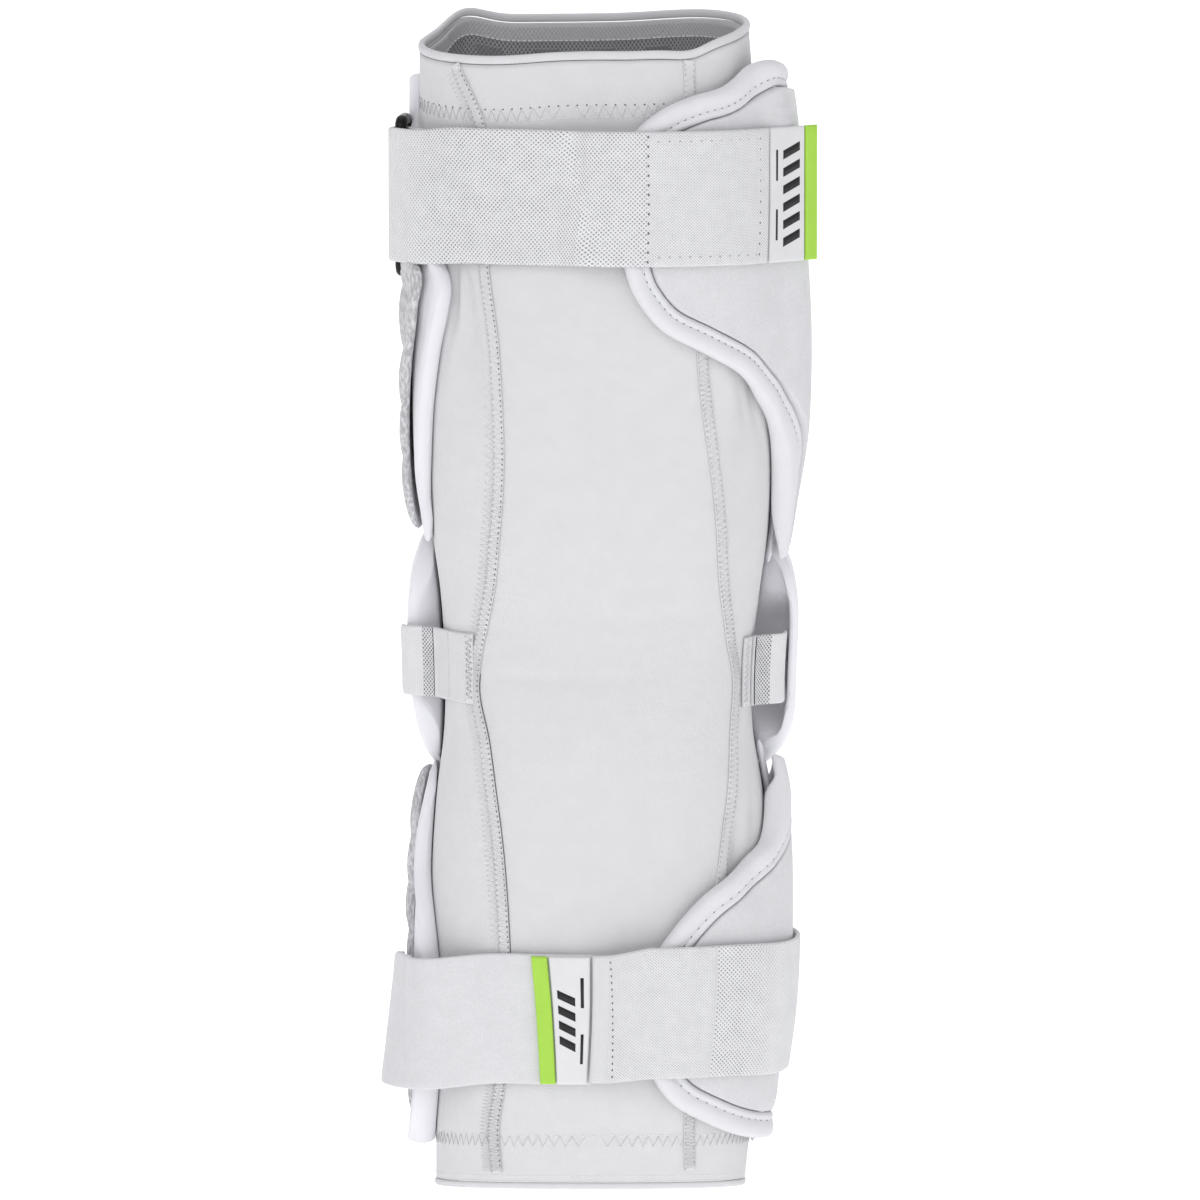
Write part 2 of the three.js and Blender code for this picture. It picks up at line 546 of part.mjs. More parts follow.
// Frame of the strap ring: its middle, its outward direction and the direction across its bars.
function ringFrame() {
  const middle = skin(RING_TURN, UPPER_MIDDLE, RING_STAND);
  const out = middle.clone().sub(skin(RING_TURN, UPPER_MIDDLE)).setZ(0).normalize();
  const across = new THREE.Vector3(-out.y, out.x, 0);
  return { middle, out, across };
}

// Black ring: a wire loop with two long upright bars and rounded corners.
function ringSolid() {
  const { middle, out, across } = ringFrame();
  const corner = (RING_HEIGHT - RING_WIRE - STRAP_WIDTH) / 2 - GAP;
  const [halfReach, halfHeight] = [RING_REACH / 2, (RING_HEIGHT - RING_WIRE) / 2];
  const centres = [[1, 1], [-1, 1], [-1, -1], [1, -1]];
  const path = centres.flatMap(([x, z], k) => [0, 1, 2, 3].map((step) => {
    const angle = Math.PI / 2 * (k + step / 3);
    return middle.clone()
      .addScaledVector(across, x * (halfReach - corner) + corner * Math.cos(angle))
      .add(new THREE.Vector3(0, 0, z * (halfHeight - corner) + corner * Math.sin(angle)));
  }));
  const up = new THREE.Vector3(0, 0, 1);
  const place = (u, v) => {
    const i = Math.round(u * path.length) % path.length;
    const along = path[(i + 1) % path.length].clone()
      .sub(path[(i + path.length - 1) % path.length]).normalize();
    const side = along.clone().cross(out).normalize();
    const angle = 2 * Math.PI * v;
    return path[i].clone().addScaledVector(out, RING_WIRE / 2 * Math.cos(angle))
      .addScaledVector(side, RING_WIRE / 2 * Math.sin(angle));
  };
  return closedLoop(path.length, 8, place);
}

// Closed ring of wire: wraps along both u and v.
function closedLoop(columns, sides, place) {
  const points = [];
  for (let i = 0; i < columns; i += 1) {
    for (let k = 0; k < sides; k += 1) points.push(place(i / columns, k / sides));
  }
  const at = (i, k) => (i % columns) * sides + (k % sides);
  const faces = [];
  for (let i = 0; i < columns; i += 1) {
    for (let k = 0; k < sides; k += 1) {
      const [a, b, c, d] = [at(i, k), at(i + 1, k), at(i + 1, k + 1), at(i, k + 1)];
      faces.push(a, c, b, a, d, c);
    }
  }
  const geometry = new THREE.BufferGeometry();
  geometry.setAttribute("position", new THREE.Float32BufferAttribute(
    points.flatMap((point) => point.toArray()), 3));
  geometry.setIndex(faces);
  return geometry;
}

// Upper elastic: its short turned end lies inside, it rounds the ring's front bar and crosses the arm.
function upperStrapSolid() {
  const { middle, out, across } = ringFrame();
  const bar = middle.clone().addScaledVector(across, RING_REACH / 2);
  const half = STRAP_THICKNESS / 2;
  const bend = roundBar(bar, out, RING_WIRE / 2 + 2 * GAP + half, -1);
  const first = UPPER_STRAP_LIE[0].turn;
  const steps = 20;
  const pathAt = (height) => {
    const returned = [-60, -68].map((turn) => skin(turn, height, SOFT_GAP + 2 * GAP + half));
    const over = Array.from({ length: steps + 1 }, (_, k) => {
      const start = lerp(first, UPPER_ELASTIC_END, k / steps);
      const level = lerp(middle.z, height, smoothstep(start, first, first + 24));
      const leaning = UPPER_LEAN * smoothstep(start, first + 24, 0);
      const turn = start + leaning * (height - UPPER_MIDDLE);
      return skin(turn, level, strapLift(UPPER_STRAP_LIE, turn, UPPER_MIDDLE) + half);
    });
    return [...returned, ...bend, ...over];
  };
  return ribbonSolid(pathAt, UPPER_MIDDLE, STRAP_WIDTH, STRAP_THICKNESS);
}

// Keeper: short doubled webbing that rounds the ring's rear bar and is sewn flat to the pad.
function keeperSolid() {
  const { middle, out, across } = ringFrame();
  const bar = middle.clone().addScaledVector(across, -RING_REACH / 2);
  const half = LOOP_THICKNESS / 2;
  const bend = roundBar(bar, out, RING_WIRE / 2 + 2 * GAP + half, 1).reverse();
  const tail = (height, extra) => KEEPER_TAIL.map((turn) =>
    skin(turn, height, padRise(turn, height) + 2 * SOFT_GAP + GAP + half + extra));
  const pathAt = (height) =>
    [...tail(height, LOOP_THICKNESS + GAP).reverse(), ...bend, ...tail(height, 0)];
  return ribbonSolid(pathAt, UPPER_MIDDLE, LOOP_WIDTH, LOOP_THICKNESS);
}

// Elbow loop: elastic from its tab on the seam to the cap. The left one rounds the wing's edge
// and lies on the cap's outer face, the right one is sewn to its inner face.
function elbowLoopSolid(side, middle, tabTurn) {
  const half = LOOP_THICKNESS / 2;
  const capFace = (turn) => capRise(side * turn, middle)
    + (side < 0 ? SOFT_GAP + half : -CAP_WALL - SOFT_GAP - half);
  const edge = capFace(CAP_WING_TURN);
  const stops = [
    { turn: tabTurn, lift: SOFT_GAP + half },
    { turn: tabTurn + 4, lift: SOFT_GAP + half + 0.8 },
    { turn: CAP_WING_TURN - 10, lift: edge * 0.45 },
    { turn: CAP_WING_TURN - 7, lift: edge * 0.85 },
    { turn: CAP_WING_TURN - 4, lift: edge },
    ...[2, 7, 12].map((more) => ({ turn: CAP_WING_TURN + more, lift: capFace(CAP_WING_TURN + more) })),
  ];
  const path = stops.map(({ turn, lift }) => skin(side * turn, middle, lift));
  return ribbonSolid(() => path, middle, LOOP_WIDTH, LOOP_THICKNESS);
}

// Flat tab sewn to the sleeve beside a seam, which the elbow loop grows out of.
function elbowTabSolid(from, to, middle) {
  return bandSolid(() => SEAM_SEAT, from, to, middle, LOOP_WIDTH, LOOP_THICKNESS, 4);
}

const FINISHES = {
  knit: { color: 0xe2e2e5, roughness: 0.85, metalness: 0 },
  mesh: { color: 0x8b8b90, roughness: 0.9, metalness: 0 },
  foam: { color: 0xe6e6ea, roughness: 0.8, metalness: 0 },
  ribbed: { color: 0xc3c3c8, roughness: 0.7, metalness: 0 },
  moulded: { color: 0xe8e8ec, roughness: 0.45, metalness: 0 },
  elastic: { color: 0xdedee2, roughness: 0.85, metalness: 0 },
  grey: { color: 0xa9a9ae, roughness: 0.5, metalness: 0 },
  lime: { color: 0xa8d94a, roughness: 0.55, metalness: 0 },
  black: { color: 0x1b1b1d, roughness: 0.4, metalness: 0 },
};

const armPad = new THREE.Group();

function add(name, finish, geometry) {
  const mesh = new THREE.Mesh(geometry, new THREE.MeshStandardMaterial(FINISHES[finish]));
  mesh.name = name;
  armPad.add(mesh);
}

const bandLift = (EDGE_BAND_THICKNESS - SLEEVE_WALL) / 2;

add("sleeve", "knit", tube(40, 16, hemEdge, cuffEdge, 0, -SLEEVE_WALL));
add("cuff_binding", "knit", tube(24, 1, (turn) => cuffEdge(turn) + GAP,
  (turn) => cuffEdge(turn) + GAP + EDGE_BAND_HEIGHT, bandLift, -SLEEVE_WALL - bandLift));
add("hem_band", "knit", tube(24, 1, (turn) => hemEdge(turn) - GAP - HEM_BAND_HEIGHT,
  (turn) => hemEdge(turn) - GAP, bandLift, -SLEEVE_WALL - bandLift));
add("cuff_lining", "mesh", tube(36, 2, (turn) => cuffEdge(turn) - LINING_LENGTH,
  (turn) => cuffEdge(turn) - GAP, -SLEEVE_WALL - SOFT_GAP, -SLEEVE_WALL - SOFT_GAP - LINING_WALL));
add("left_seam", "knit", tape(LEFT_SEAM, 26, SEAM_WIDTH, SEAM_SEAT, SEAM_SEAT + SEAM_THICKNESS));
add("right_seam", "knit", tape(RIGHT_SEAM, 26, SEAM_WIDTH, SEAM_SEAT, SEAM_SEAT + SEAM_THICKNESS));
add("bicep_pad", "foam", padSolid(1));
add("bicep_shell", "ribbed", shellSolid(1));
add("bicep_flap", "foam", flapSolid(1, BICEP_FLAP));
add("bicep_flap_binding", "knit", flapBinding(BICEP_FLAP));
add("elbow_pad", "foam", elbowPadSolid());
add("elbow_cap", "moulded", capSolid());
add("forearm_pad", "foam", padSolid(-1));
add("forearm_shell", "ribbed", shellSolid(-1));
add("forearm_flap", "foam", flapSolid(-1, FOREARM_FLAP));
add("forearm_flap_binding", "knit", flapBinding(FOREARM_FLAP));
add("left_elbow_tab", "knit", elbowTabSolid(LEFT_TAB.from, LEFT_TAB.to, -LEFT_LOOP_DROP));
add("left_elbow_loop", "elastic", elbowLoopSolid(-1, -LEFT_LOOP_DROP, LEFT_TAB.loop));
add("right_elbow_tab", "knit", elbowTabSolid(RIGHT_TAB.from, RIGHT_TAB.to, -RIGHT_LOOP_DROP));
add("right_elbow_loop", "elastic", elbowLoopSolid(1, -RIGHT_LOOP_DROP, RIGHT_TAB.loop));
add("strap_ring", "black", ringSolid());
add("ring_keeper", "elastic", keeperSolid());
add("upper_strap", "elastic", upperStrapSolid());
add("upper_pull_tab", "grey", strapSolid(UPPER_STRAP_LIE, UPPER_ELASTIC_END + 0.5, UPPER_TAB_END,
  UPPER_MIDDLE, STRAP_WIDTH, 5, UPPER_LEAN));
add("upper_pull_tip", "lime", strapSolid(UPPER_STRAP_LIE, UPPER_TAB_END + 0.5, UPPER_TIP_END,
  UPPER_MIDDLE, STRAP_WIDTH, 3, UPPER_LEAN));
add("landing_panel", "foam", strapSolid(PANEL_LIE, PANEL_LIE[0].turn, -1,
  LOWER_MIDDLE, STRAP_WIDTH, 18));
add("lower_strap", "elastic", strapSolid(LOWER_STRAP_LIE, LOWER_TAB_END + 0.5, LOWER_ELASTIC_END,
  LOWER_MIDDLE, STRAP_WIDTH - 1, 20));
add("lower_pull_tab", "grey", strapSolid(LOWER_STRAP_LIE, LOWER_TIP_END + 0.5, LOWER_TAB_END,
  LOWER_MIDDLE, STRAP_WIDTH - 1, 3));
add("lower_pull_tip", "lime", strapSolid(LOWER_STRAP_LIE, LOWER_TIP_START, LOWER_TIP_END,
  LOWER_MIDDLE, STRAP_WIDTH - 1, 2));

export default armPad;
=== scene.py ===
"""Lacrosse arm pad for a left arm: knit sleeve, padding, elbow cap, webbing, stitching and studio.

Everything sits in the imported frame: metres, +Z up the arm, the inner elbow faces -Y. Numbers in
the tables and classes are millimetres unless they say otherwise. A place on the sleeve is its turn
(degrees, 0 at -Y and 90 at +X), its height z and its lift above the knit.
"""

import logging
import math
from dataclasses import dataclass
from enum import Enum
from typing import Callable, Optional, Sequence

import bpy
import numpy as np
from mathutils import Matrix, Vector

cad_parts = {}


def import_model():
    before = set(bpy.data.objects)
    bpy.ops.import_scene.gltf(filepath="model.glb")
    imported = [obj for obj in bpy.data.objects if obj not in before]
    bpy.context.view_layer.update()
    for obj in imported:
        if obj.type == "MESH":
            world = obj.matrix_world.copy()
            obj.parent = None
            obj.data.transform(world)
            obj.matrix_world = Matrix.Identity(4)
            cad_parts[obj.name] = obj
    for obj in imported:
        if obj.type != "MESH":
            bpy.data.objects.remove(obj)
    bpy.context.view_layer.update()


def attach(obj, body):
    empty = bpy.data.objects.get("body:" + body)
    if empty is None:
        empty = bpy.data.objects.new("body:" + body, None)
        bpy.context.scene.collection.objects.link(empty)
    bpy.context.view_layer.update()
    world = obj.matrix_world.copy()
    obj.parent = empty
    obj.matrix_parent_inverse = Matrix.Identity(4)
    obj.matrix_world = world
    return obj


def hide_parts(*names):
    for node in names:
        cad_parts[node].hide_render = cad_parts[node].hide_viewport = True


LOG = logging.getLogger("arm_pad")
MM = 0.001
Grid = np.ndarray
Colour = tuple[float, float, float]
Place = Callable[[Grid, Grid], tuple[Grid, Grid]]

WEBBING = 25.4
LINING_DEPTH = 62.0


class Side(Enum):
    """Half of the arm that a pad or a flap belongs to, with the name its pieces start with."""

    UPPER = "bicep"
    LOWER = "forearm"


def lerp(a: Grid, b: Grid, share: Grid) -> Grid:
    """Blends two values.

    Args:
        a: value at share 0.
        b: value at share 1.
        share: how far from a to b.

    Returns:
        The blended value.
    """
    return a + (b - a) * share


def smoothstep(value: Grid, low: float, high: float) -> Grid:
    """Smooth rise from 0 at low to 1 at high.

    Args:
        value: place on the scale.
        low: where the rise starts.
        high: where it ends.

    Returns:
        Share between 0 and 1.
    """
    t = np.clip((value - low) / (high - low), 0, 1)
    return t * t * (3 - 2 * t)


class Table:
    """Smooth curve through rows of numbers, looked up by the first column."""

    def __init__(self, rows: Sequence[Sequence[float]]) -> None:
        """Sorts the rows by their key.

        Args:
            rows: a key followed by one or more values.
        """
        data = np.array(sorted(rows), float)
        self.keys, self.values = data[:, 0], data[:, 1:]

    def at(self, place: Grid, column: int = 0) -> Grid:
        """Looks one column up.

        Args:
            place: keys to look up.
            column: which value column.

        Returns:
            The values, in the shape of place.
        """
        x, y = self.keys, self.values[:, column]
        last = len(x) - 1
        place = np.asarray(place, float)
        i = np.searchsorted(x[1:last], place, side="left")
        steps = np.arange(last + 1)
        before, after = np.maximum(steps - 1, 0), np.minimum(steps + 1, last)
        slope = (y[after] - y[before]) / (x[after] - x[before])
        span = x[i + 1] - x[i]
        t = np.clip((place - x[i]) / span, -0.2, 1.2)
        t2, t3 = t * t, t * t * t
        return ((2 * t3 - 3 * t2 + 1) * y[i] + (t3 - 2 * t2 + t) * slope[i] * span
                + (3 * t2 - 2 * t3) * y[i + 1] + (t3 - t2) * slope[i + 1] * span)


# Sleeve sections from the cuff edge (1) over the elbow (0) to the hem (-1):
# share of the length, width and depth as shares of the elbow's, shift as a share of the width, twist.
SECTIONS = Table([
    (1.0, 1.07, 0.95, -0.05, -12), (0.88, 1.085, 0.99, -0.04, -10), (0.72, 1.105, 1.03, -0.015, -6),
    (0.55, 1.125, 1.05, 0, -2), (0.38, 1.125, 1.05, 0, 0), (0.22, 1.095, 1.03, 0, 0),
    (0.1, 1.035, 1.01, 0, 0), (0, 1, 1, -0.005, 0), (-0.14, 1, 0.99, -0.005, 0),
    (-0.28, 1.065, 0.96, 0, 0), (-0.46, 1.1, 0.92, 0, 0), (-0.66, 1.085, 0.85, 0, 0),
    (-0.84, 1.04, 0.75, -0.015, 0), (-1, 1.01, 0.62, -0.03, 0)])

# Hollows in the knit: share of the length, turn, span in degrees, reach as a share of the length,
# lean in degrees for each unit of share, depth as a share of the elbow's width.
FOLDS = [(0.03, 0, 44, 0.13, 0, 0.018), (0.54, -47, 8, 0.13, -40, 0.02),
         (0.4, 56, 9, 0.13, 60, 0.018), (-0.42, 56, 9, 0.14, -60, 0.016)]

# Narrow gathers that only the cloth itself shows.
GATHERS = [(0.585, -53, 3.2, 0.075, 62, 0.017), (0.6, -44, 2.6, 0.07, -22, 0.014),
           (0.6, -48.5, 2.2, 0.05, 20, -0.009), (0.4, 63, 4.2, 0.05, -70, 0.012),
           (0.43, 52, 3.2, 0.045, -85, 0.008), (-0.35, 52, 3.4, 0.05, 70, 0.008),
           (-0.3, 66, 4, 0.05, 50, 0.009), (0.05, -52, 16, 0.012, 0, 0.005),
           (-0.03, -20, 26, 0.012, 0, 0.0035), (0.075, 20, 24, 0.012, 60, 0.003),
           (-0.55, -45, 5, 0.05, 30, 0.006), (-0.9, 10, 30, 0.02, 0, 0.003),
           (0.98, -129, 15, 0.07, 0, -0.035)]

# Left edges of the two pads and of their outer shells: share of the length, turn.
WINGS = {
    Side.UPPER: Table([(0.95, -92), (0.88, -92), (0.74, -80), (0.67, -60), (0.62, -52), (0.57, -54),
                       (0.5, -60), (0.42, -66), (0.33, -71), (0.25, -75), (0.15, -72)]),
    Side.LOWER: Table([(-0.16, -84), (-0.28, -85), (-0.4, -82), (-0.5, -72), (-0.6, -67),
                       (-0.72, -68), (-0.84, -74), (-0.94, -84)])}
SHELL_WINGS = {
    Side.UPPER: Table([(0.95, -108), (0.88, -121), (0.7, -108), (0.64, -66), (0.57, -67), (0.5, -73),
                       (0.42, -80), (0.3, -88), (0.15, -93)]),
    Side.LOWER: Table([(-0.15, -97), (-0.45, -98), (-0.7, -102), (-0.95, -104)])}

# How far each pad stands above the knit: share of the length, left, behind, right.
PAD_RISE = Table([
    (1.0, 4, 8, 5.5), (0.88, 4.2, 10, 7.4), (0.74, 2.6, 11, 6.2), (0.6, 4.8, 11, 5.6),
    (0.4, 4.8, 11, 5.4), (0.25, 4.6, 10, 3.4), (0.14, 3.2, 8, 3.2), (-0.16, 3.2, 8, 3.2),
    (-0.3, 4.6, 10, 3.6), (-0.5, 5.4, 10, 3.2), (-0.75, 7.5, 9, 2.9), (-0.95, 9, 8, 2.9)])

# Free edges of the flaps: turn, share of the length.
FLAP_EDGES = {
    Side.UPPER: [(99, 0.963), (80, 0.975), (56, 0.936), (41, 0.922), (28, 0.9), (17, 0.86), (9, 0.79),
                 (6, 0.72), (8, 0.65), (10, 0.6), (17, 0.545), (31, 0.507), (48, 0.465), (64, 0.4),
                 (73, 0.335), (79, 0.25), (84, 0.155)],
    Side.LOWER: [(87, -0.195), (80, -0.265), (68, -0.34), (54, -0.378), (42, -0.41), (31, -0.445),
                 (21, -0.5), (13, -0.57), (10, -0.65), (11, -0.73), (16, -0.795), (24, -0.845),
                 (38, -0.882), (53, -0.908), (70, -0.924), (96, -0.935)]}

SEAMS = {
    "left": [(-40, 0.968), (-29, 0.87), (-32, 0.75), (-34, 0.64), (-32, 0.5), (-32, 0.28),
             (-38, 0.135), (-48, 0.01), (-50, -0.06), (-43, -0.16), (-35, -0.31), (-31, -0.45),
             (-30, -0.62), (-32, -0.8), (-35, -0.9), (-33, -0.985)],
    "right": [(43, 0.979), (40, 0.85), (35, 0.68), (32, 0.5), (34, 0.4), (40, 0.26), (46, 0.13),
              (55, 0.03), (61, -0.04), (58, -0.14), (50, -0.27), (43, -0.39), (36, -0.6),
              (32, -0.8), (33, -0.9), (35, -0.98)]}

# What a strap lies on: turn, and shares of how far the ring, the bound flap and the pad stand up.
UPPER_LIE = Table([
    (-66, 0.62, 0, 0), (-54, 0.33, 0, 0), (-40, 0.07, 0, 0), (-20, 0, 0, 0), (-6, 0, 0.12, 0),
    (2, 0, 0.85, 0), (9, 0, 1.02, 0), (40, 0, 1.02, 0), (66, 0, 1.05, 0.05), (84, 0, 1.02, 0.72),
    (94, 0, 1.05, 1), (118, 0, 1.05, 1.1)])
LOWER_LIE = Table([
    (-14, 0, 0.26, 0), (-2, 0, 0.28, 0), (4, 0, 0.72, 0), (11, 0, 1.02, 0), (60, 0, 1.04, 0.02),
    (84, 0, 1.04, 0.26), (118, 0, 1.04, 1.0)])
PANEL_LIE = Table([
    (-106, 0, 0, 1.4), (-98, 0.2, 0, 1.35), (-88, 0.35, 0, 1.3), (-76, 0.32, 0, 1.1),
    (-60, 0.1, 0, 1), (-46, 0, 0, 0.2), (-38, 0, 0, -0.08), (-24, 0, 0, -0.09), (-1, 0, 0, -0.08)])


@dataclass(frozen=True)
class Arm:
    """The filled sleeve that every other piece lies on."""

    upper: float = 220
    lower: float = 190
    width: float = 111
    depth: float = 74
    power: float = 2.4
    cuff_rise: float = 6.5
    cuff_tilt: float = 3
    hem_drop: float = 4

    def share(self, z: Grid) -> Grid:
        """Height as a share of the length above or below the elbow.

        Args:
            z: heights.

        Returns:
            Shares, negative below the elbow.
        """
        z = np.asarray(z, float)
        return np.where(z >= 0, z / self.upper, z / self.lower)

    def height(self, share: Grid) -> Grid:
        """Height of a share of the length.

        Args:
            share: shares, negative below the elbow.

        Returns:
            Heights.
        """
        share = np.asarray(share, float)
        return share * np.where(share >= 0, self.upper, self.lower)

    def cuff(self, turn: Grid) -> Grid:
        """Height of the cuff's edge.

        Args:
            turn: degrees round the arm.

        Returns:
            Heights.
        """
        a = np.radians(turn)
        near = np.mod(np.asarray(turn, float) + 180, 360) - 180
        wave = 1.4 * np.exp(-((near - 3) / 16) ** 2) - 1.9 * np.exp(-((near - 44) / 11) ** 2)
        wave = wave + 4.6 * np.exp(-((near + 128) / 14) ** 2)
        wave = wave - 2.0 * np.exp(-((180 - np.abs(near)) / 26) ** 2)
        return self.upper - self.cuff_rise * np.cos(a) + self.cuff_tilt * np.sin(a) + wave

    def hem(self, turn: Grid) -> Grid:
        """Height of the wrist hem's edge.

        Args:
            turn: degrees round the arm.

        Returns:
            Heights.
        """
        return -self.lower - self.hem_drop * (1 - np.cos(np.radians(turn))) / 2

    def fold(self, turn: Grid, z: Grid, gathered: bool) -> Grid:
        """Depth of the hollows in the knit.

        Args:
            turn: degrees round the arm.
            z: heights.
            gathered: whether the narrow gathers count too.

        Returns:
            Depths.
        """
        near = np.mod(turn + 180, 360) - 180
        total = np.zeros(np.broadcast(near, z).shape)
        for at, middle, span, reach, lean, depth in FOLDS + (GATHERS if gathered else []):
            rise = self.share(z) - at
            across = (near - middle - lean * rise) / span
            total = total + depth * self.width * np.exp(-across ** 2 - (rise / reach) ** 2)
        return total

    def skin(self, turn: Grid, z: Grid, lift: Grid = 0.0, gathered: bool = False) -> Grid:
        """Points above the sleeve's outer face.

        Args:
            turn: degrees round the arm.
            z: heights.
            lift: distance out from the knit.
            gathered: whether to follow the narrow gathers.

        Returns:
            Points, with a last axis of three.
        """
        turn, z, lift = np.broadcast_arrays(*(np.asarray(a, float) for a in (turn, z, lift)))
        at = self.share(z)
        width, depth, shift, twist = (SECTIONS.at(at, k) for k in range(4))

        def oval(angle: Grid) -> tuple[Grid, Grid]:
            s, c = np.sin(np.radians(angle)), np.cos(np.radians(angle))
            return (self.width * width / 2 * np.sign(s) * np.abs(s) ** (2 / self.power),
                    -self.depth * depth / 2 * np.sign(c) * np.abs(c) ** (2 / self.power))

        (x0, y0), (x1, y1), (x, y) = oval(turn - 0.5), oval(turn + 0.5), oval(turn)
        along = np.hypot(x1 - x0, y1 - y0)
        out = lift - self.fold(turn, z, gathered)
        x, y = x + (y1 - y0) / along * out, y - (x1 - x0) / along * out
        c, s = np.cos(np.radians(twist)), np.sin(np.radians(twist))
        return np.stack([x * c - y * s + shift * self.width, x * s + y * c, z], -1)

    def outward(self, turn: Grid, z: Grid) -> Grid:
        """Unit directions out from the knit.

        Args:
            turn: degrees round the arm.
            z: heights.

        Returns:
            Unit vectors.
        """
        return self.skin(turn, z, 1) - self.skin(turn, z)


class Route:
    """Smooth line on the sleeve through a table of turns and shares."""

    def __init__(self, arm: Arm, rows: Sequence[tuple[float, float]]) -> None:
        """Keeps the line's points.

        Args:
            arm: the sleeve.
            rows: turn and share of the length of each point.
        """
        self.arm = arm
        self.points = np.array([(turn, float(arm.height(at))) for turn, at in rows])

    def point(self, share: Grid) -> Grid:
        """Places along the line.

        Args:
            share: 0 at its first row, 1 at its last.

        Returns:
            Turn and height, on a last axis of two.
        """
        p = self.points
        p = np.vstack([2 * p[0] - p[1], p, 2 * p[-1] - p[-2]])
        place = np.clip(np.asarray(share, float), 0, 1) * (len(p) - 3)
        i = np.minimum(place.astype(int), len(p) - 4)
        t = (place - i)[..., None]
        a, b, c, d = p[i], p[i + 1], p[i + 2], p[i + 3]

        def gap(e: Grid, f: Grid) -> Grid:
            return np.maximum(np.sqrt(np.linalg.norm(f - e, axis=-1)), 1e-4)[..., None]

        d0, d1, d2 = gap(a, b), gap(b, c), gap(c, d)
        m1 = ((b - a) / d0 - (c - a) / (d0 + d1) + (c - b) / d1) * d1
        m2 = ((c - b) / d1 - (d - b) / (d1 + d2) + (d - c) / d2) * d1
        return (b + m1 * t + (3 * (c - b) - 2 * m1 - m2) * t ** 2
                + (2 * (b - c) + m1 + m2) * t ** 3)

    def beside(self, share: Grid, distance: Grid) -> tuple[Grid, Grid]:
        """Places beside the line, to the side of larger turns where it runs down.

        Args:
            share: share along the line.
            distance: distance from it on the knit.

        Returns:
            Turns and heights.
        """
        share = np.asarray(share, float)
        here = self.point(share)
        run = self.point(np.minimum(share + 0.01, 1)) - self.point(np.maximum(share - 0.01, 0))
        turn, z = here[..., 0], here[..., 1]
        degree = np.linalg.norm(self.arm.skin(turn + 1, z) - self.arm.skin(turn - 1, z), axis=-1) / 2
        x, y = run[..., 0] * degree, run[..., 1]
        length = np.hypot(x, y)
        return turn - distance * y / length / degree, z + distance * x / length


@dataclass(frozen=True)
class Layers:
    """Heights above the knit of everything that lies on it."""

    arm: Arm
    gap: float = 0.3
    soft_gap: float = 1.1
    pad_seat: float = 1.8
    pad_right: float = 84
    pad_top: float = 207
    pad_foot: float = 179
    over_seam: float = 2.5
    flap_top: float = 5.3
    flap_root: float = 122
    ring_top: float = 10.2
    cap_wall: float = 3.2
    cap_turn: float = 92

    def pad_rise(self, turn: Grid, z: Grid) -> Grid:
        """Top of a pad: left side, behind and right side, blended by turn.

        Args:
            turn: degrees round the arm.
            z: heights.

        Returns:
            Lifts.
        """
        left, back, right = (PAD_RISE.at(self.arm.share(z), k) for k in range(3))
        side = np.where(np.sin(np.radians(turn)) < 0, left, right)
        return lerp(side, back, smoothstep(-np.cos(np.radians(turn)), 0.1, 0.95))

    def cap_edge(self, turn: Grid) -> Grid:
        """Half height of the elbow cap.

        Args:
            turn: degrees round the arm.

        Returns:
            Half heights, low at the wings and high behind.
        """
        return lerp(31, 58, np.maximum(0, -np.cos(np.radians(turn))) ** 0.8)

    def cap_rise(self, turn: Grid, z: Grid) -> Grid:
        """Outer face of the elbow cap.

        Args:
            turn: degrees round the arm.
            z: heights.

        Returns:
            Lifts.
        """
        a = np.radians(turn)
        behind, right = np.maximum(0, -np.cos(a)), np.maximum(0, np.sin(a))
        power = np.where(np.asarray(z) < 0, 2 + 3 * right ** 4, 2)
        share = np.clip(np.abs(z / self.cap_edge(turn)), 0, 1)
        dome = np.sqrt(np.maximum(0, 1 - share ** power))
        top = lerp(np.where(np.sin(a) > 0, 15.8, 12.4), 25, behind)
        return lerp(lerp(2.8, 5.6, behind), top, dome)

    def flap_seat(self, turn: Grid, z: Grid) -> Grid:
        """Underside of a flap.

        Args:
            turn: degrees round the arm.
            z: heights.

        Returns:
            Lifts.
        """
        over = np.maximum(self.pad_rise(turn, z) + 1.6 * self.soft_gap, self.over_seam)
        return lerp(self.over_seam, over, smoothstep(turn, 70, 86))

    def strap(self, lie: Table, turn: Grid, middle: float) -> Grid:
        """Underside of a strap.

        Args:
            lie: what it lies on, by turn.
            turn: degrees round the arm.
            middle: height of its middle line.

        Returns:
            Lifts.
        """
        ring, flap, pad = (lie.at(turn, k) for k in range(3))
        at = self.arm.share(middle)
        top = np.where(np.asarray(turn) < 0, PAD_RISE.at(at, 0), PAD_RISE.at(at, 2)) + self.soft_gap
        return (self.over_seam + ring * (self.ring_top - self.over_seam)
                + flap * self.flap_top + pad * top)


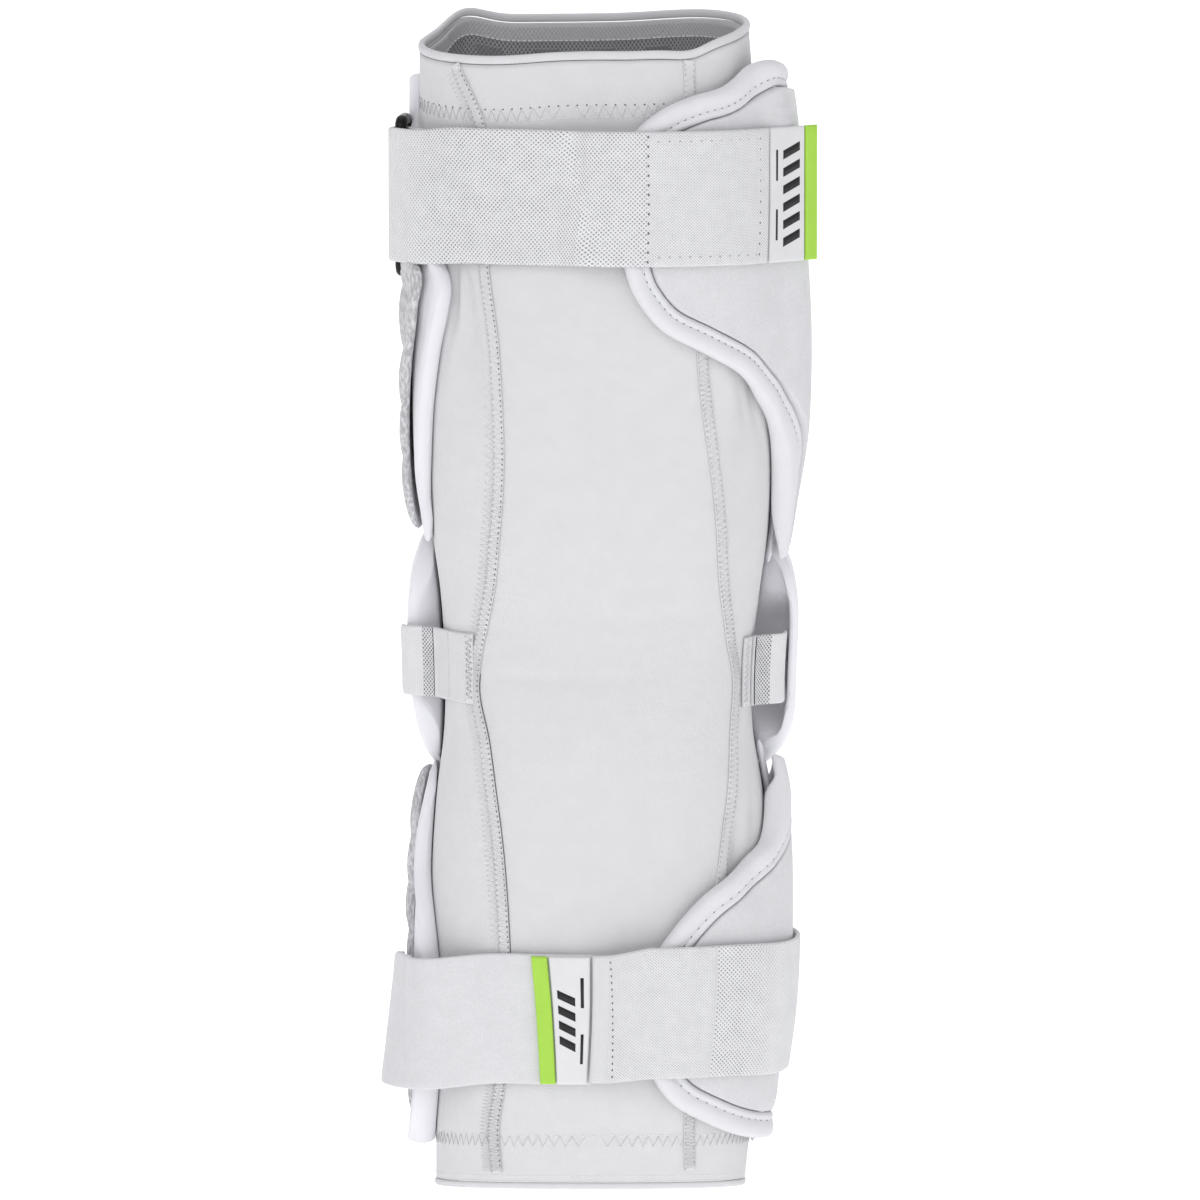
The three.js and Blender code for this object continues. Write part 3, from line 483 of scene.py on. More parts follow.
@dataclass(frozen=True)
class Patch:
    """Grid of shares whose border is drawn close together so that its edge rounds over."""

    length: float
    height: float
    columns: int
    rows: int
    radius: float

    def shares(self) -> tuple[Grid, Grid]:
        """The grid.

        Returns:
            Shares along and up, each columns by rows.
        """
        near = self.radius * (1 - np.cos(np.linspace(0, math.pi / 2, 5)))[:-1]
        sides = [np.unique(np.concatenate(
            [near, np.linspace(self.radius, side - self.radius, count), side - near])) / side
            for side, count in ((self.length, self.columns), (self.height, self.rows))]
        return tuple(np.meshgrid(*sides, indexing="ij"))

    def round(self, u: Grid, v: Grid) -> Grid:
        """Rounding of the edge.

        Args:
            u: shares along.
            v: shares up.

        Returns:
            Almost 0 on the border, 1 further in than the radius.
        """
        inside = np.minimum(np.minimum(u, 1 - u) * self.length, np.minimum(v, 1 - v) * self.height)
        inside = np.clip(inside / self.radius, 0, 1)
        return np.maximum(0.08, np.sqrt(1 - (1 - inside) ** 2))


class Graph:
    """Adds shader nodes to one new material and links them."""

    def __init__(self, name: str, colour: Colour, roughness: float) -> None:
        """Starts the material.

        Args:
            name: the material's name.
            colour: base colour, linear.
            roughness: roughness of the surface.
        """
        self.material = bpy.data.materials.new(name)
        self.material.use_nodes = True
        self.material.diffuse_color = (*colour, 1)
        self.tree = self.material.node_tree
        self.tree.nodes.clear()
        self.shader = self.node("ShaderNodeBsdfPrincipled")
        self.feed(self.shader.inputs["Base Color"], (*colour, 1))
        self.feed(self.shader.inputs["Roughness"], roughness)
        output = self.node("ShaderNodeOutputMaterial")
        self.tree.links.new(self.shader.outputs[0], output.inputs["Surface"])

    def node(self, kind: str, **settings: object) -> bpy.types.Node:
        """Adds a node.

        Args:
            kind: type of node.
            **settings: properties to set on it.

        Returns:
            The node.
        """
        node = self.tree.nodes.new(kind)
        for key, value in settings.items():
            setattr(node, key, value)
        return node

    def feed(self, target: bpy.types.NodeSocket, value: object) -> None:
        """Links a socket into an input, or sets the input to a constant.

        Args:
            target: the input.
            value: a socket or a constant.
        """
        if isinstance(value, bpy.types.NodeSocket):
            self.tree.links.new(value, target)
        else:
            target.default_value = value

    def math(self, operation: str, a: object, b: object = 0.0, c: object = 0.0) -> bpy.types.NodeSocket:
        """Adds a math node.

        Args:
            operation: what it does.
            a: first value.
            b: second value.
            c: third value.

        Returns:
            Its result.
        """
        node = self.node("ShaderNodeMath", operation=operation)
        for k, value in enumerate((a, b, c)):
            self.feed(node.inputs[k], value)
        return node.outputs[0]

    def vector(self, operation: str, a: object, b: object = (0.0, 0.0, 0.0)) -> bpy.types.NodeSocket:
        """Adds a vector math node.

        Args:
            operation: what it does.
            a: first vector.
            b: second vector.

        Returns:
            Its result.
        """
        node = self.node("ShaderNodeVectorMath", operation=operation)
        self.feed(node.inputs[0], a)
        self.feed(node.inputs[1], b)
        return node.outputs["Value" if operation == "LENGTH" else "Vector"]

    def place(self, on_cloth: bool) -> bpy.types.NodeSocket:
        """Coordinates in metres.

        Args:
            on_cloth: along the cloth, else in space.

        Returns:
            The coordinates.
        """
        if on_cloth:
            return self.node("ShaderNodeUVMap", uv_map="UVMap").outputs[0]
        return self.node("ShaderNodeTexCoord").outputs["Object"]

    def noise(self, place: bpy.types.NodeSocket, size: float, detail: float = 3) -> bpy.types.NodeSocket:
        """Adds soft noise.

        Args:
            place: coordinates.
            size: size of its grains in millimetres.
            detail: octaves.

        Returns:
            Values about 0.5.
        """
        node = self.node("ShaderNodeTexNoise")
        self.feed(node.inputs["Vector"], place)
        self.feed(node.inputs["Scale"], 1 / (size * MM))
        self.feed(node.inputs["Detail"], detail)
        return node.outputs[0]

    def ramp(self, value: object, low: float, high: float, to_low: float = 0.0,
             to_high: float = 1.0) -> bpy.types.NodeSocket:
        """Maps a range smoothly.

        Args:
            value: the value.
            low: start of its range.
            high: end of its range.
            to_low: result at the start.
            to_high: result at the end.

        Returns:
            The mapped value.
        """
        node = self.node("ShaderNodeMapRange", interpolation_type="SMOOTHSTEP")
        for k, item in enumerate((value, low, high, to_low, to_high)):
            self.feed(node.inputs[k], item)
        return node.outputs[0]

    def mix(self, share: object, a: object, b: object) -> bpy.types.NodeSocket:
        """Blends two colours.

        Args:
            share: share of the second.
            a: first colour.
            b: second colour.

        Returns:
            The blend.
        """
        node = self.node("ShaderNodeMix", data_type="RGBA")
        self.feed(node.inputs[0], share)
        for socket, item in ((node.inputs[6], a), (node.inputs[7], b)):
            self.feed(socket, (*item, 1) if isinstance(item, tuple) else item)
        return node.outputs[2]

    def lattice(self, place: bpy.types.NodeSocket, pitch: tuple[float, float]) -> bpy.types.NodeSocket:
        """Distance to the nearest point of a staggered lattice.

        Args:
            place: coordinates on the cloth.
            pitch: spacing along and up, in millimetres.

        Returns:
            0 on a point, about 0.5 between points.
        """
        scaled = self.vector("MULTIPLY", place, (1 / (pitch[0] * MM), 1 / (pitch[1] * MM), 0))
        found = []
        for shift in (0.0, 0.5):
            moved = self.vector("ADD", scaled, (shift, shift, 0))
            part = self.vector("SUBTRACT", self.vector("FRACTION", moved), (0.5, 0.5, 0))
            found.append(self.vector("LENGTH", part))
        return self.math("MINIMUM", *found)

    def bump(self, height: object, depth: float, strength: float = 1.0) -> None:
        """Adds relief.

        Args:
            height: height from 0 to 1.
            depth: what 1 stands for, in millimetres.
            strength: how much of it shows.
        """
        node = self.node("ShaderNodeBump")
        self.feed(node.inputs["Strength"], strength)
        self.feed(node.inputs["Distance"], depth * MM)
        self.feed(node.inputs["Height"], height)
        if self.shader.inputs["Normal"].is_linked:
            self.feed(node.inputs["Normal"], self.shader.inputs["Normal"].links[0].from_socket)
        self.feed(self.shader.inputs["Normal"], node.outputs[0])


@dataclass(frozen=True)
class Finish:
    """Smooth coated surface with faint mottling."""

    name: str
    colour: Colour
    roughness: float = 0.5
    mottle: float = 0.04
    sheen: float = 0.0
    gloss: float = 0.5

    def graph(self, on_cloth: bool = False) -> tuple[Graph, bpy.types.NodeSocket]:
        """Starts the material.

        Args:
            on_cloth: whether its coordinates run along the cloth.

        Returns:
            The graph and its coordinates.
        """
        graph = Graph(self.name, self.colour, self.roughness)
        graph.feed(graph.shader.inputs["Sheen Weight"], self.sheen)
        graph.feed(graph.shader.inputs["Specular IOR Level"], self.gloss)
        return graph, graph.place(on_cloth)

    def tone(self, graph: Graph, place: bpy.types.NodeSocket, size: float = 9) -> bpy.types.NodeSocket:
        """Base colour with soft blotches.

        Args:
            graph: the graph.
            place: coordinates.
            size: size of the blotches.

        Returns:
            The colour.
        """
        share = graph.ramp(graph.noise(place, size), 0.3, 0.7)
        dim = tuple(c * (1 - 2 * self.mottle) for c in self.colour)
        return graph.mix(share, dim, self.colour)

    def build(self) -> bpy.types.Material:
        """Makes the material.

        Returns:
            The material.
        """
        graph, place = self.graph()
        graph.feed(graph.shader.inputs["Base Color"], self.tone(graph, place))
        rough = graph.ramp(graph.noise(place, 2.5), 0.3, 0.7, self.roughness - 0.06, self.roughness + 0.06)
        graph.feed(graph.shader.inputs["Roughness"], rough)
        graph.bump(graph.noise(place, 0.7, 4), 0.05)
        return graph.material


@dataclass(frozen=True)
class Knit(Finish):
    """Fine jersey with upright wales and a slightly hairy face."""

    wale: float = 0.62
    depth: float = 0.07

    def build(self) -> bpy.types.Material:
        """Makes the material.

        Returns:
            The material.
        """
        graph, place = self.graph(on_cloth=True)
        distance = graph.lattice(place, (self.wale, self.wale * 1.25))
        loops = graph.ramp(distance, 0.12, 0.5, 1, 0)
        grain = graph.noise(place, 0.5, 2)
        tone = self.tone(graph, place)
        dim = tuple(c * 0.9 for c in self.colour)
        graph.feed(graph.shader.inputs["Base Color"],
                   graph.mix(graph.math("MULTIPLY", graph.ramp(distance, 0.3, 0.55), 0.35), tone, dim))
        graph.bump(graph.noise(place, 14, 2), 0.5, 0.35)
        graph.bump(graph.math("ADD", loops, graph.math("MULTIPLY", grain, 0.5)), self.depth)
        return graph.material


@dataclass(frozen=True)
class Brushed(Finish):
    """Napped loop fabric over foam, short fibres in every direction."""

    nap: float = 0.7
    crumple: float = 0.5

    def build(self) -> bpy.types.Material:
        """Makes the material.

        Returns:
            The material.
        """
        graph, place = self.graph()
        fibres = graph.noise(place, self.nap, 5)
        tone = self.tone(graph, place, 6)
        dim = tuple(c * 0.86 for c in self.colour)
        graph.feed(graph.shader.inputs["Base Color"],
                   graph.mix(graph.ramp(fibres, 0.35, 0.62, 0.45, 0), tone, dim))
        graph.bump(graph.noise(place, 11, 3), self.crumple, 0.5)
        graph.bump(fibres, 0.16)
        return graph.material


@dataclass(frozen=True)
class Heather(Finish):
    """Grey melange jersey over foam, with flecks and short cross wrinkles whose creases are darkened by
    painted shade.
    """

    flecks: float = 0.3

    def build(self) -> bpy.types.Material:
        """Makes the material.

        Returns:
            The material.
        """
        graph, place = self.graph()
        streaks = graph.noise(graph.vector("MULTIPLY", place, (1.0, 1.0, 0.35)), 0.9, 4)
        wrinkles = graph.noise(graph.vector("MULTIPLY", place, (0.45, 0.45, 2.0)), 5.5, 4)
        dim = tuple(c * (1 - self.flecks) for c in self.colour)
        light = tuple(min(1.0, c * (1 + 0.5 * self.flecks)) for c in self.colour)
        tone = graph.mix(graph.ramp(streaks, 0.35, 0.65), dim, light)
        # The low parts of the wrinkle noise are darkened toward dim: painted shade in the wrinkles' creases,
        # on top of their bump.
        graph.feed(graph.shader.inputs["Base Color"],
                   graph.mix(graph.ramp(wrinkles, 0.36, 0.5, 0.35, 0), tone, dim))
        graph.bump(wrinkles, 0.7, 0.7)
        graph.bump(streaks, 0.12)
        return graph.material


@dataclass(frozen=True)
class Weave(Finish):
    """Woven elastic: raised floats in staggered rows with small dark gaps between them."""

    pitch: tuple[float, float] = (1.6, 1.6)
    gap: float = 0.2
    shade: Colour = (0.22, 0.22, 0.235)
    depth: float = 0.25
    fade: Optional[tuple[float, float]] = None

    def build(self) -> bpy.types.Material:
        """Makes the material, whose gaps grow from faint to full along the fade.

        Returns:
            The material.
        """
        graph, place = self.graph(on_cloth=True)
        wander = graph.vector("SCALE", graph.node("ShaderNodeTexNoise").outputs["Color"])
        wander.node.inputs["Scale"].default_value = 0.05 * self.pitch[0] * MM
        noise = wander.node.inputs[0].links[0].from_node
        graph.feed(noise.inputs["Vector"], place)
        noise.inputs["Scale"].default_value = 1 / (2.2 * self.pitch[0] * MM)
        distance = graph.lattice(graph.vector("ADD", place, wander), self.pitch)
        uneven = graph.ramp(graph.noise(place, 3 * self.pitch[0], 2), 0.3, 0.7, 0.7, 1)
        gaps = graph.ramp(distance, self.gap * 0.6, self.gap * 1.25, 1, 0)
        if self.fade:
            split = graph.node("ShaderNodeSeparateXYZ")
            graph.feed(split.inputs[0], place)
            start, end = (value * MM for value in self.fade)
            gaps = graph.math("MULTIPLY", gaps, graph.ramp(split.outputs[0], start, end, 0.3, 1))
        graph.feed(graph.shader.inputs["Base Color"],
                   graph.mix(graph.math("MULTIPLY", gaps, uneven), self.tone(graph, place), self.shade))
        graph.bump(graph.ramp(distance, self.gap * 0.3, 0.5), self.depth)
        graph.bump(graph.noise(place, 0.35, 2), 0.04)
        return graph.material


@dataclass(frozen=True)
class Lining(Weave):
    """Grey mesh inside the cuff: a lighter turned edge and soft slanted grip bars."""

    edge: float = 6.0
    edge_colour: Colour = (0.58, 0.58, 0.59)
    grip: Colour = (0.2, 0.2, 0.205)
    bars: tuple[float, float] = (9.0, 30.0)
    length: float = LINING_DEPTH

    def build(self) -> bpy.types.Material:
        """Makes the material.

        Returns:
            The material.
        """
        graph, place = self.graph(on_cloth=True)
        split = graph.node("ShaderNodeSeparateXYZ")
        graph.feed(split.inputs[0], place)
        along, up = split.outputs[0], split.outputs[1]
        below = graph.math("SUBTRACT", self.length * MM, up)
        distance = graph.lattice(place, self.pitch)
        gaps = graph.ramp(distance, self.gap * 0.5, self.gap * 1.6, 1, 0)
        tone = graph.mix(gaps, self.tone(graph, place, 14), self.shade)
        slant = graph.math("FRACT", graph.math("DIVIDE", graph.math("ADD", along, graph.math(
            "MULTIPLY", below, 0.6)), 0.021))
        bar = graph.ramp(graph.math("ABSOLUTE", graph.math("SUBTRACT", slant, 0.5)), 0.2, 0.24, 1, 0)
        inside = graph.math("MULTIPLY", graph.ramp(below, self.bars[0] * MM, (self.bars[0] + 0.6) * MM),
                            graph.ramp(below, self.bars[1] * MM, (self.bars[1] + 0.6) * MM, 1, 0))
        printed = graph.math("MULTIPLY", bar, inside)
        tone = graph.mix(graph.math("MULTIPLY", printed, 0.85), tone, self.grip)
        rim = graph.ramp(below, self.edge * MM, (self.edge + 0.4) * MM, 1, 0)
        graph.feed(graph.shader.inputs["Base Color"],
                   graph.mix(graph.math("MULTIPLY", rim, 0.85), tone, self.edge_colour))
        graph.feed(graph.shader.inputs["Roughness"], graph.ramp(printed, 0, 1, self.roughness, 0.42))
        relief = graph.math("ADD", graph.ramp(distance, 0.1, 0.5), graph.math("MULTIPLY", printed, 1.5))
        graph.bump(relief, self.depth)
        return graph.material


@dataclass(frozen=True)
class Twist(Finish):
    """Spun sewing thread, also used for the dark beads and threads of painted shade."""

    def build(self) -> bpy.types.Material:
        """Makes the material.

        Returns:
            The material.
        """
        graph, place = self.graph()
        strands = graph.node("ShaderNodeTexWave", bands_direction="DIAGONAL")
        graph.feed(strands.inputs["Vector"], place)
        graph.feed(strands.inputs["Scale"], 700)
        graph.feed(graph.shader.inputs["Base Color"], self.tone(graph, place, 3))
        graph.bump(strands.outputs["Fac"], 0.08)
        return graph.material


class Wardrobe:
    """Every material of the pad, made once."""

    def __init__(self) -> None:
        """Makes the materials."""
        elastic: Colour = (0.8, 0.8, 0.81)
        self.knit = Knit("knit", (0.7, 0.7, 0.708), 0.85, mottle=0.012, sheen=0.12).build()
        self.band = Knit("band_knit", (0.73, 0.73, 0.742), 0.85, mottle=0.015, sheen=0.1, wale=0.9,
                         depth=0.14).build()
        self.lining = Lining("cuff_mesh", (0.42, 0.42, 0.43), 0.85, mottle=0.05, pitch=(1.5, 2.1),
                             gap=0.24, shade=(0.15, 0.15, 0.155), depth=0.2).build()
        self.cover = Knit("pad_cover", (0.83, 0.83, 0.865), 0.8, mottle=0.012, sheen=0.12,
                          depth=0.05).build()
        self.roll = Knit("roll_cover", (0.74, 0.74, 0.76), 0.8, mottle=0.012, sheen=0.1,
                         depth=0.05).build()
        self.brushed = Brushed("brushed_loop", (0.7, 0.7, 0.715), 0.95, mottle=0.02, sheen=0.2).build()
        self.heather = Heather("ribbed_grey", (0.58, 0.58, 0.59), 0.9, mottle=0.05, sheen=0.1).build()
        self.cap = Finish("cap_moulded", (0.83, 0.83, 0.865), 0.55, mottle=0.012).build()
        self.coarse, self.coarse_low = (
            Weave(name, elastic, 0.85, mottle=0.02, fade=fade).build()
            for name, fade in (("elastic_coarse", (30.0, 60.0)), ("elastic_coarse_low", (76.0, 56.0))))
        self.fine = Weave("elastic_fine", elastic, 0.85, mottle=0.02, pitch=(1.15, 1.05), gap=0.22,
                          shade=(0.42, 0.42, 0.435), depth=0.16).build()
        self.webbing = Weave("elastic_webbing", (0.79, 0.79, 0.8), 0.85, mottle=0.03, pitch=(1.3, 1.5),
                             gap=0.26, shade=(0.07, 0.07, 0.085), depth=0.22).build()
        self.rib = Weave("elastic_ribbed", elastic, 0.85, mottle=0.02, pitch=(1.6, 0.9), gap=0.22,
                         shade=(0.58, 0.58, 0.6), depth=0.14).build()
        self.tab = Finish("tab_coated", (0.72, 0.72, 0.73), 0.55, mottle=0.015).build()
        self.lime = Finish("tip_coated", (0.385, 0.68, 0.065), 0.6, mottle=0.02).build()
        self.ink = Finish("tab_print", (0.008, 0.008, 0.009), 0.6, mottle=0.1).build()
        self.black = Finish("ring_plastic", (0.008, 0.008, 0.009), 0.3, mottle=0.1, gloss=0.2).build()
        self.thread = Twist("thread_white", (0.8, 0.8, 0.81), 0.7, mottle=0.04).build()
        # Painted shade: dark beads and threads put where needle holes, raised threads and edges would cast
        # shade.
        self.painted_shade = Twist("thread_shade", (0.16, 0.16, 0.17), 0.8, mottle=0.1).build()
        # Faint painted shade: lighter grey dots and dashes for the weaker shade of needle holes and raised
        # threads.
        self.faint_shade = Twist("thread_faint_shade", (0.48, 0.48, 0.5), 0.8, mottle=0.06).build()


class Tailor:
    """Turns grids of points into pieces that ride on the frame."""

    def closed(self, name: str, outer: Grid, inner: Grid, wrap: bool) -> tuple[bpy.types.Mesh, Grid]:
        """Closed skin between two grids.

        Args:
            name: the mesh's name.
            outer: points of the outer face, columns by rows by three.
            inner: points of the inner face.
            wrap: whether the columns close on themselves.

        Returns:
            The mesh and the column of each face.
        """
        across, up = outer.shape[:2]
        columns = across if wrap else across - 1
        i, j = (a.ravel() for a in np.meshgrid(np.arange(columns), np.arange(up - 1), indexing="ij"))
        c, r, top = np.arange(columns), np.arange(up - 1), up - 1

        def quads(*corners: tuple) -> Grid:
            return np.stack([np.stack(np.broadcast_arrays(*corner), -1) for corner in corners], 1)

        groups = [quads((0, i, j), (0, i + 1, j), (0, i + 1, j + 1), (0, i, j + 1)),
                  quads((1, i, j), (1, i, j + 1), (1, i + 1, j + 1), (1, i + 1, j)),
                  quads((1, c, 0), (1, c + 1, 0), (0, c + 1, 0), (0, c, 0)),
                  quads((0, c, top), (0, c + 1, top), (1, c + 1, top), (1, c, top))]
        if not wrap:
            groups += [quads((0, 0, r), (0, 0, r + 1), (1, 0, r + 1), (1, 0, r)),
                       quads((0, columns, r), (1, columns, r), (1, columns, r + 1), (0, columns, r + 1))]
        corners = np.concatenate(groups)
        vertex = (corners[..., 0] * across + corners[..., 1] % across) * up + corners[..., 2]
        mesh = bpy.data.meshes.new(name)
        points = np.concatenate([outer.reshape(-1, 3), inner.reshape(-1, 3)]) * MM
        mesh.from_pydata(points.tolist(), [], vertex.tolist())
        ring = np.concatenate([outer, outer[:1]]) if wrap else outer
        along = self.lengths(ring[:, up // 2])
        upward = self.lengths(outer[across // 2])
        uv = np.stack([along[corners[..., 1]], upward[corners[..., 2]]], -1) * MM
        layer = mesh.uv_layers.new(name="UVMap")
        layer.data.foreach_set("uv", uv.astype(np.float32).ravel())
        return mesh, corners[:, 0, 1]

    @staticmethod
    def lengths(line: Grid) -> Grid:
        """Distance along a line of points.

        Args:
            line: the points.

        Returns:
            Distance of each from the first.
        """
        return np.concatenate([[0.0], np.cumsum(np.linalg.norm(np.diff(line, axis=0), axis=1))])

    def piece(self, name: str, outer: Grid, inner: Grid, finishes: Sequence[bpy.types.Material],
              slot: str, nodes: Sequence[str] = (), wrap: bool = False,
              zone: Optional[Grid] = None) -> bpy.types.Object:
        """Makes a piece, hangs it on the frame and hides the solids that it stands for.

        Args:
            name: the piece's name.
            outer: points of its outer face.
            inner: points of its inner face.
            finishes: its materials.
            slot: material slot of the record.
            nodes: solids that it replaces.
            wrap: whether it closes on itself.
            zone: index of the material of each column of faces.

        Returns:
            The piece.
        """
        mesh, column = self.closed(name, outer, inner, wrap)
        if zone is not None:
            index = zone[np.minimum(column, len(zone) - 1)].astype(np.int32)
            mesh.polygons.foreach_set("material_index", index)
        return self.hang(name, mesh, finishes, slot, nodes)

    @staticmethod
    def hang(name: str, mesh: bpy.types.Mesh, finishes: Sequence[bpy.types.Material], slot: str,
             nodes: Sequence[str] = ()) -> bpy.types.Object:
        """Puts a mesh in the scene.

        Args:
            name: the piece's name.
            mesh: its mesh, in place.
            finishes: its materials.
            slot: material slot of the record; not used.
            nodes: solids that it replaces.

        Returns:
            The piece.
        """
        mesh.polygons.foreach_set("use_smooth", [True] * len(mesh.polygons))
        for finish in finishes:
            mesh.materials.append(finish)
        piece = bpy.data.objects.new(name, mesh)
        bpy.context.scene.collection.objects.link(piece)
        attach(piece, "root")
        if nodes:
            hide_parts(*nodes)
        return piece


@dataclass(frozen=True)
class Filling:
    """Swells a closed cover with a short pressure simulation."""

    pressure: float = 4.0
    frames: int = 20
    limit: float = 2.0

    def swell(self, piece: bpy.types.Object, loose: Grid) -> None:
        """Runs the simulation and keeps its result in the mesh.

        Args:
            piece: the closed cover.
            loose: which points of its outer face may move; the inner face is held.
        """
        held = np.concatenate([~loose.ravel(), np.ones(loose.size, bool)])
        group = piece.vertex_groups.new(name="held")
        group.add(np.flatnonzero(held).tolist(), 1.0, "REPLACE")
        cloth = piece.modifiers.new("fill", "CLOTH")
        settings = cloth.settings
        settings.quality = 5
        settings.mass = 0.2
        settings.tension_stiffness = settings.compression_stiffness = 12
        settings.bending_stiffness = 0.6
        settings.use_pressure = True
        settings.uniform_pressure_force = self.pressure
        settings.effector_weights.gravity = 0
        settings.vertex_group_mass = group.name
        cloth.collision_settings.use_collision = False
        scene = bpy.context.scene
        for number in range(1, self.frames + 1):
            scene.frame_set(number)
        count = len(piece.data.vertices)
        start, end = (np.empty(count * 3, np.float32) for _ in range(2))
        piece.data.vertices.foreach_get("co", start)
        shaped = piece.evaluated_get(bpy.context.evaluated_depsgraph_get())
        shaped.data.vertices.foreach_get("co", end)
        move = (end - start).reshape(-1, 3)
        size = np.linalg.norm(move, axis=1, keepdims=True)
        cap = self.limit * MM
        move *= np.where(size > 0, cap * np.tanh(size / cap) / np.maximum(size, 1e-9), 0)
        piece.modifiers.remove(cloth)
        piece.vertex_groups.clear()
        scene.frame_set(1)
        piece.data.vertices.foreach_set("co", start + move.ravel())
        piece.data.update()
        LOG.info("%s swells by up to %.2f mm", piece.name, float(np.linalg.norm(move, axis=1).max() / MM))


class Sewing:
    """Rows of stitches and lengths of thread, laid out by node trees."""

    def __init__(self, tailor: Tailor) -> None:
        """Makes the two node trees.

        Args:
            tailor: maker of the pieces.
        """
        self.tailor = tailor
        self.bead_tree = self.beads()
        self.thread_tree = self.threads()

    @staticmethod
    def tree(name: str, inputs: Sequence[tuple[str, str]]) -> bpy.types.NodeTree:
        """Starts a node tree with named inputs.

        Args:
            name: the tree's name.
            inputs: name and socket type of each input after the geometry.

        Returns:
            The tree.
        """
        tree = bpy.data.node_groups.new(name, "GeometryNodeTree")
        tree.interface.new_socket("Geometry", in_out="INPUT", socket_type="NodeSocketGeometry")
        for label, kind in inputs:
            tree.interface.new_socket(label, in_out="INPUT", socket_type=kind)
        tree.interface.new_socket("Geometry", in_out="OUTPUT", socket_type="NodeSocketGeometry")
        return tree

    @staticmethod
    def close(tree: bpy.types.NodeTree, shape: bpy.types.NodeSocket, start: bpy.types.Node) -> None:
        """Ends a tree: smooth faces, the material, the output.

        Args:
            tree: the tree.
            shape: what it has made.
            start: its group input.
        """
        smooth = tree.nodes.new("GeometryNodeSetShadeSmooth")
        paint = tree.nodes.new("GeometryNodeSetMaterial")
        end = tree.nodes.new("NodeGroupOutput")
        tree.links.new(shape, smooth.inputs["Geometry"])
        tree.links.new(smooth.outputs[0], paint.inputs["Geometry"])
        tree.links.new(start.outputs["Material"], paint.inputs["Material"])
        tree.links.new(paint.outputs[0], end.inputs[0])

    def beads(self) -> bpy.types.NodeTree:
        """Tree that sets one bead of thread at every step along lines, flat on the cloth.

        Returns:
            The tree.
        """
        tree = self.tree("stitch_row", [("Pitch", "NodeSocketFloat"), ("Size", "NodeSocketVector"),
                                        ("Material", "NodeSocketMaterial")])
        new, link = tree.nodes.new, tree.links.new
        start = new("NodeGroupInput")
        curve, steps = new("GeometryNodeMeshToCurve"), new("GeometryNodeResampleCurve")
        steps.mode = "LENGTH"
        bead, scale = new("GeometryNodeMeshIcoSphere"), new("GeometryNodeTransform")
        bead.inputs["Radius"].default_value = 0.5
        bead.inputs["Subdivisions"].default_value = 2
        tangent, lie = new("GeometryNodeInputTangent"), new("GeometryNodeInputNamedAttribute")
        lie.data_type = "FLOAT_VECTOR"
        lie.inputs["Name"].default_value = "lie"
        turn, tip = (new("FunctionNodeAlignRotationToVector") for _ in range(2))
        turn.axis, tip.axis, tip.pivot_axis = "X", "Z", "X"
        rows, real = new("GeometryNodeInstanceOnPoints"), new("GeometryNodeRealizeInstances")
        link(start.outputs["Geometry"], curve.inputs["Mesh"])
        link(curve.outputs[0], steps.inputs["Curve"])
        link(start.outputs["Pitch"], steps.inputs["Length"])
        link(bead.outputs["Mesh"], scale.inputs["Geometry"])
        link(start.outputs["Size"], scale.inputs["Scale"])
        link(tangent.outputs[0], turn.inputs["Vector"])
        link(turn.outputs[0], tip.inputs["Rotation"])
        link(lie.outputs["Attribute"], tip.inputs["Vector"])
        link(steps.outputs[0], rows.inputs["Points"])
        link(scale.outputs[0], rows.inputs["Instance"])
        link(tip.outputs[0], rows.inputs["Rotation"])
        link(rows.outputs[0], real.inputs["Geometry"])
        self.close(tree, real.outputs[0], start)
        return tree

    def threads(self) -> bpy.types.NodeTree:
        """Tree that runs a round thread along lines.

        Returns:
            The tree.
        """
        tree = self.tree("thread_run", [("Radius", "NodeSocketFloat"), ("Material", "NodeSocketMaterial")])
        new, link = tree.nodes.new, tree.links.new
        start = new("NodeGroupInput")
        curve, section, sweep = (new(kind) for kind in (
            "GeometryNodeMeshToCurve", "GeometryNodeCurvePrimitiveCircle", "GeometryNodeCurveToMesh"))
        section.inputs["Resolution"].default_value = 5
        link(start.outputs["Geometry"], curve.inputs["Mesh"])
        link(start.outputs["Radius"], section.inputs["Radius"])
        link(curve.outputs[0], sweep.inputs["Curve"])
        link(section.outputs[0], sweep.inputs["Profile Curve"])
        sweep.inputs["Fill Caps"].default_value = True
        self.close(tree, sweep.outputs[0], start)
        return tree

    def apply(self, name: str, tree: bpy.types.NodeTree, lines: Sequence[tuple[Grid, Grid]],
              values: dict[str, object], slot: str) -> bpy.types.Object:
        """Runs a tree over lines and keeps its result as a plain mesh.

        Args:
            name: the piece's name.
            tree: the tree.
            lines: points and outward directions of each line, in millimetres.
            values: the tree's inputs by name.
            slot: material slot of the record.

        Returns:
            The piece.
        """
        points, edges, base = np.concatenate([line for line, _ in lines]) * MM, [], 0
        for line, _ in lines:
            edges += [(base + k, base + k + 1) for k in range(len(line) - 1)]
            base += len(line)
        mesh = bpy.data.meshes.new(name + "_line")
        mesh.from_pydata(points.tolist(), edges, [])
        lie = mesh.attributes.new("lie", "FLOAT_VECTOR", "POINT")
        lie.data.foreach_set("vector", np.concatenate([out for _, out in lines]).astype(np.float32).ravel())
        holder = bpy.data.objects.new(name + "_line", mesh)
        bpy.context.scene.collection.objects.link(holder)
        modifier = holder.modifiers.new("rows", "NODES")
        modifier.node_group = tree
        for item in tree.interface.items_tree:
            if item.in_out == "INPUT" and item.name in values:
                modifier[item.identifier] = values[item.name]
        shaped = holder.evaluated_get(bpy.context.evaluated_depsgraph_get())
        made = bpy.data.meshes.new_from_object(shaped)
        bpy.data.objects.remove(holder)
        made.name = name
        finishes = [] if made.materials else [values["Material"]]
        return self.tailor.hang(name, made, finishes, slot)

